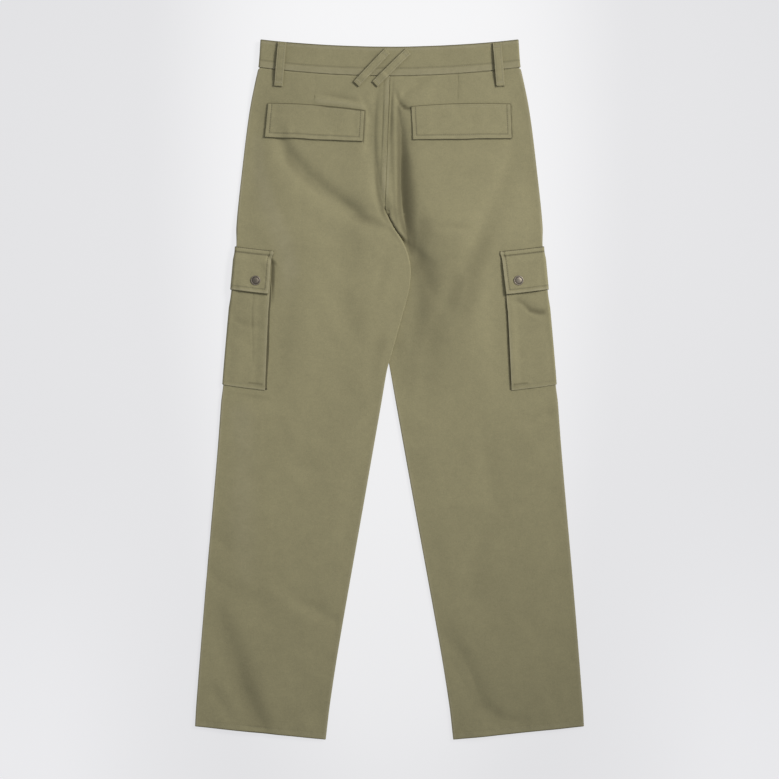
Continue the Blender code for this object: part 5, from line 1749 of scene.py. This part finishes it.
HEM_LINE = HEM - HEM_STITCHES - FIRST_ROW
UNDER_BAND = 0.0095
for (kind, word), cloth in panels.items():
    lines = [over(cloth, HEM_LINE, 0.0034, 0.0034)]
    if (kind, word) == ("back", "left"):
        for inset in (0.00034, 0.00454):
            across, along = down_edge(cloth, inset, UNDER_BAND, 0.178, column=-10)
            lines.append((across - 2 * inset, along))
    if (kind, word) == ("front", "left"):
        across, along = down_edge(cloth, 0.0, UNDER_BAND, 0.150, column=-10)
        bend = 0.034 * np.sqrt(np.clip(1 - smooth(along, 0.105, 0.150) ** 1.5, 0.0, 1.0))
        lines.append((across - bend, along))
        lines.append((across - bend + 0.0055 * (bend > 0.012), along))
    sew(cloth, *lines)
sew(band, over(band, BAND_DEPTH - BAND_STITCHES, 0.003, 0.003),
    over(band, BAND_EDGE_STITCHES, 0.003, 0.003))
for cloth in seat_flaps.values():
    low_line = cloth.along[-1] - FLAP_STITCHES
    sew(cloth, *both_edges(cloth, FLAP_STITCHES, 0.0058, low_line),
        over(cloth, low_line, FLAP_STITCHES, FLAP_STITCHES),
        over(cloth, SEAT_FLAP_SEAM, 0.002, 0.002))
for word in SIDES:
    cloth, deep = pockets[word], POCKET_BOTTOM - POCKET_TOP
    sew(cloth, down_edge(cloth, POCKET_BACK_STITCHES, 0.030, deep - 0.008),
        over(cloth, deep - POCKET_LOW_STITCHES, 0.003, 0.004), over(cloth, deep - 0.0014, 0.003, 0.004),
        down_edge(cloth, 0.0020, 0.002, deep - 0.002, last=True))
    cloth, low_line = cargo_flaps[word], FLAP_BOTTOM - FLAP_TOP - FLAP_STITCHES
    sew(cloth, *(over(cloth, seam, 0.002, 0.002) for seam in CARGO_FLAP_SEAMS),
        *both_edges(cloth, FLAP_STITCHES, 0.010, low_line),
        over(cloth, low_line, FLAP_STITCHES, FLAP_STITCHES))
for cloth in loops.values():
    first, last = TURN_UNDER + 0.004, cloth.along[-1] - TURN_UNDER - 0.004
    tacks = [(cloth.width / 2, spot, cloth.width * 0.74) for spot in (first + 0.002, last - 0.002)]
    sew(cloth, *both_edges(cloth, LOOP_STITCHES, first, last), tacks=tacks)

# %% [markdown]
# ## What each piece is
# Every piece rides on the one body; a piece that stands for a node of the imported model hides it,
# and each sheet prints what it was cut to before it was sewn and laid.

# %% What each piece is


def belongs(piece, slot, *nodes):
    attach(piece, "root")
    if nodes:
        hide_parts(*nodes)


def declare(cloth, node, slot="twill", flat=None):
    """Hang a sheet and its stitches on the body, hide the node it stands for and print what it was
    cut to: its own widest row and its length, or the sizes given, and the sheet's area."""
    belongs(cloth.piece, slot, node)
    extra = [stitches[cloth.name]] if cloth.name in stitches else []
    for piece in extra:
        belongs(piece, slot)
    widths = cloth.across[:, -1] - cloth.across[:, 0]
    long = float(cloth.along[-1] - cloth.along[0])
    area = float(((widths[1:] + widths[:-1]) / 2 * np.diff(cloth.along)).sum())
    flat = flat or tuple(math.ceil(size * 10000) / 10000 for size in (float(widths.max()), long))
    print(f"{cloth.name}: cut {flat[0]:.4f} x {flat[1]:.4f} m, {area:.4f} square metres")


PANEL_CUT = (0.275, 1.040)
for word in SIDES:
    front, back = panels["front", word], panels["back", word]
    declare(front, "front_panel_" + word, flat=PANEL_CUT)
    declare(back, "back_panel_" + word, flat=PANEL_CUT)
    declare(pockets[word], "cargo_pocket_" + word)
    declare(gussets[word], "cargo_gusset_" + word)
    declare(cargo_flaps[word], "cargo_flap_" + word)
    declare(seat_flaps[word], "seat_flap_" + word)
    belongs(snaps["back", word], "snap_metal", "cargo_snap_" + word)
    belongs(snaps["front", word], "snap_metal", "cargo_snap_front_" + word)
    for kind in ("back", "slant", "front"):
        declare(loops[f"{kind}_{word}"], f"belt_loop_{kind}_{word}")
declare(band, "waistband")
belongs(button, "button", "waist_button")
declare(zip_tape, "fly_zip", slot="zip_tape")
belongs(zip_teeth, "zip_tape")

# %% Size
boxes = [[list(corner) for corner in box] for box in (cad_box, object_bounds())]
print("boxes:", [[[round(v * 1000, 1) for v in corner] for corner in box] for box in boxes])
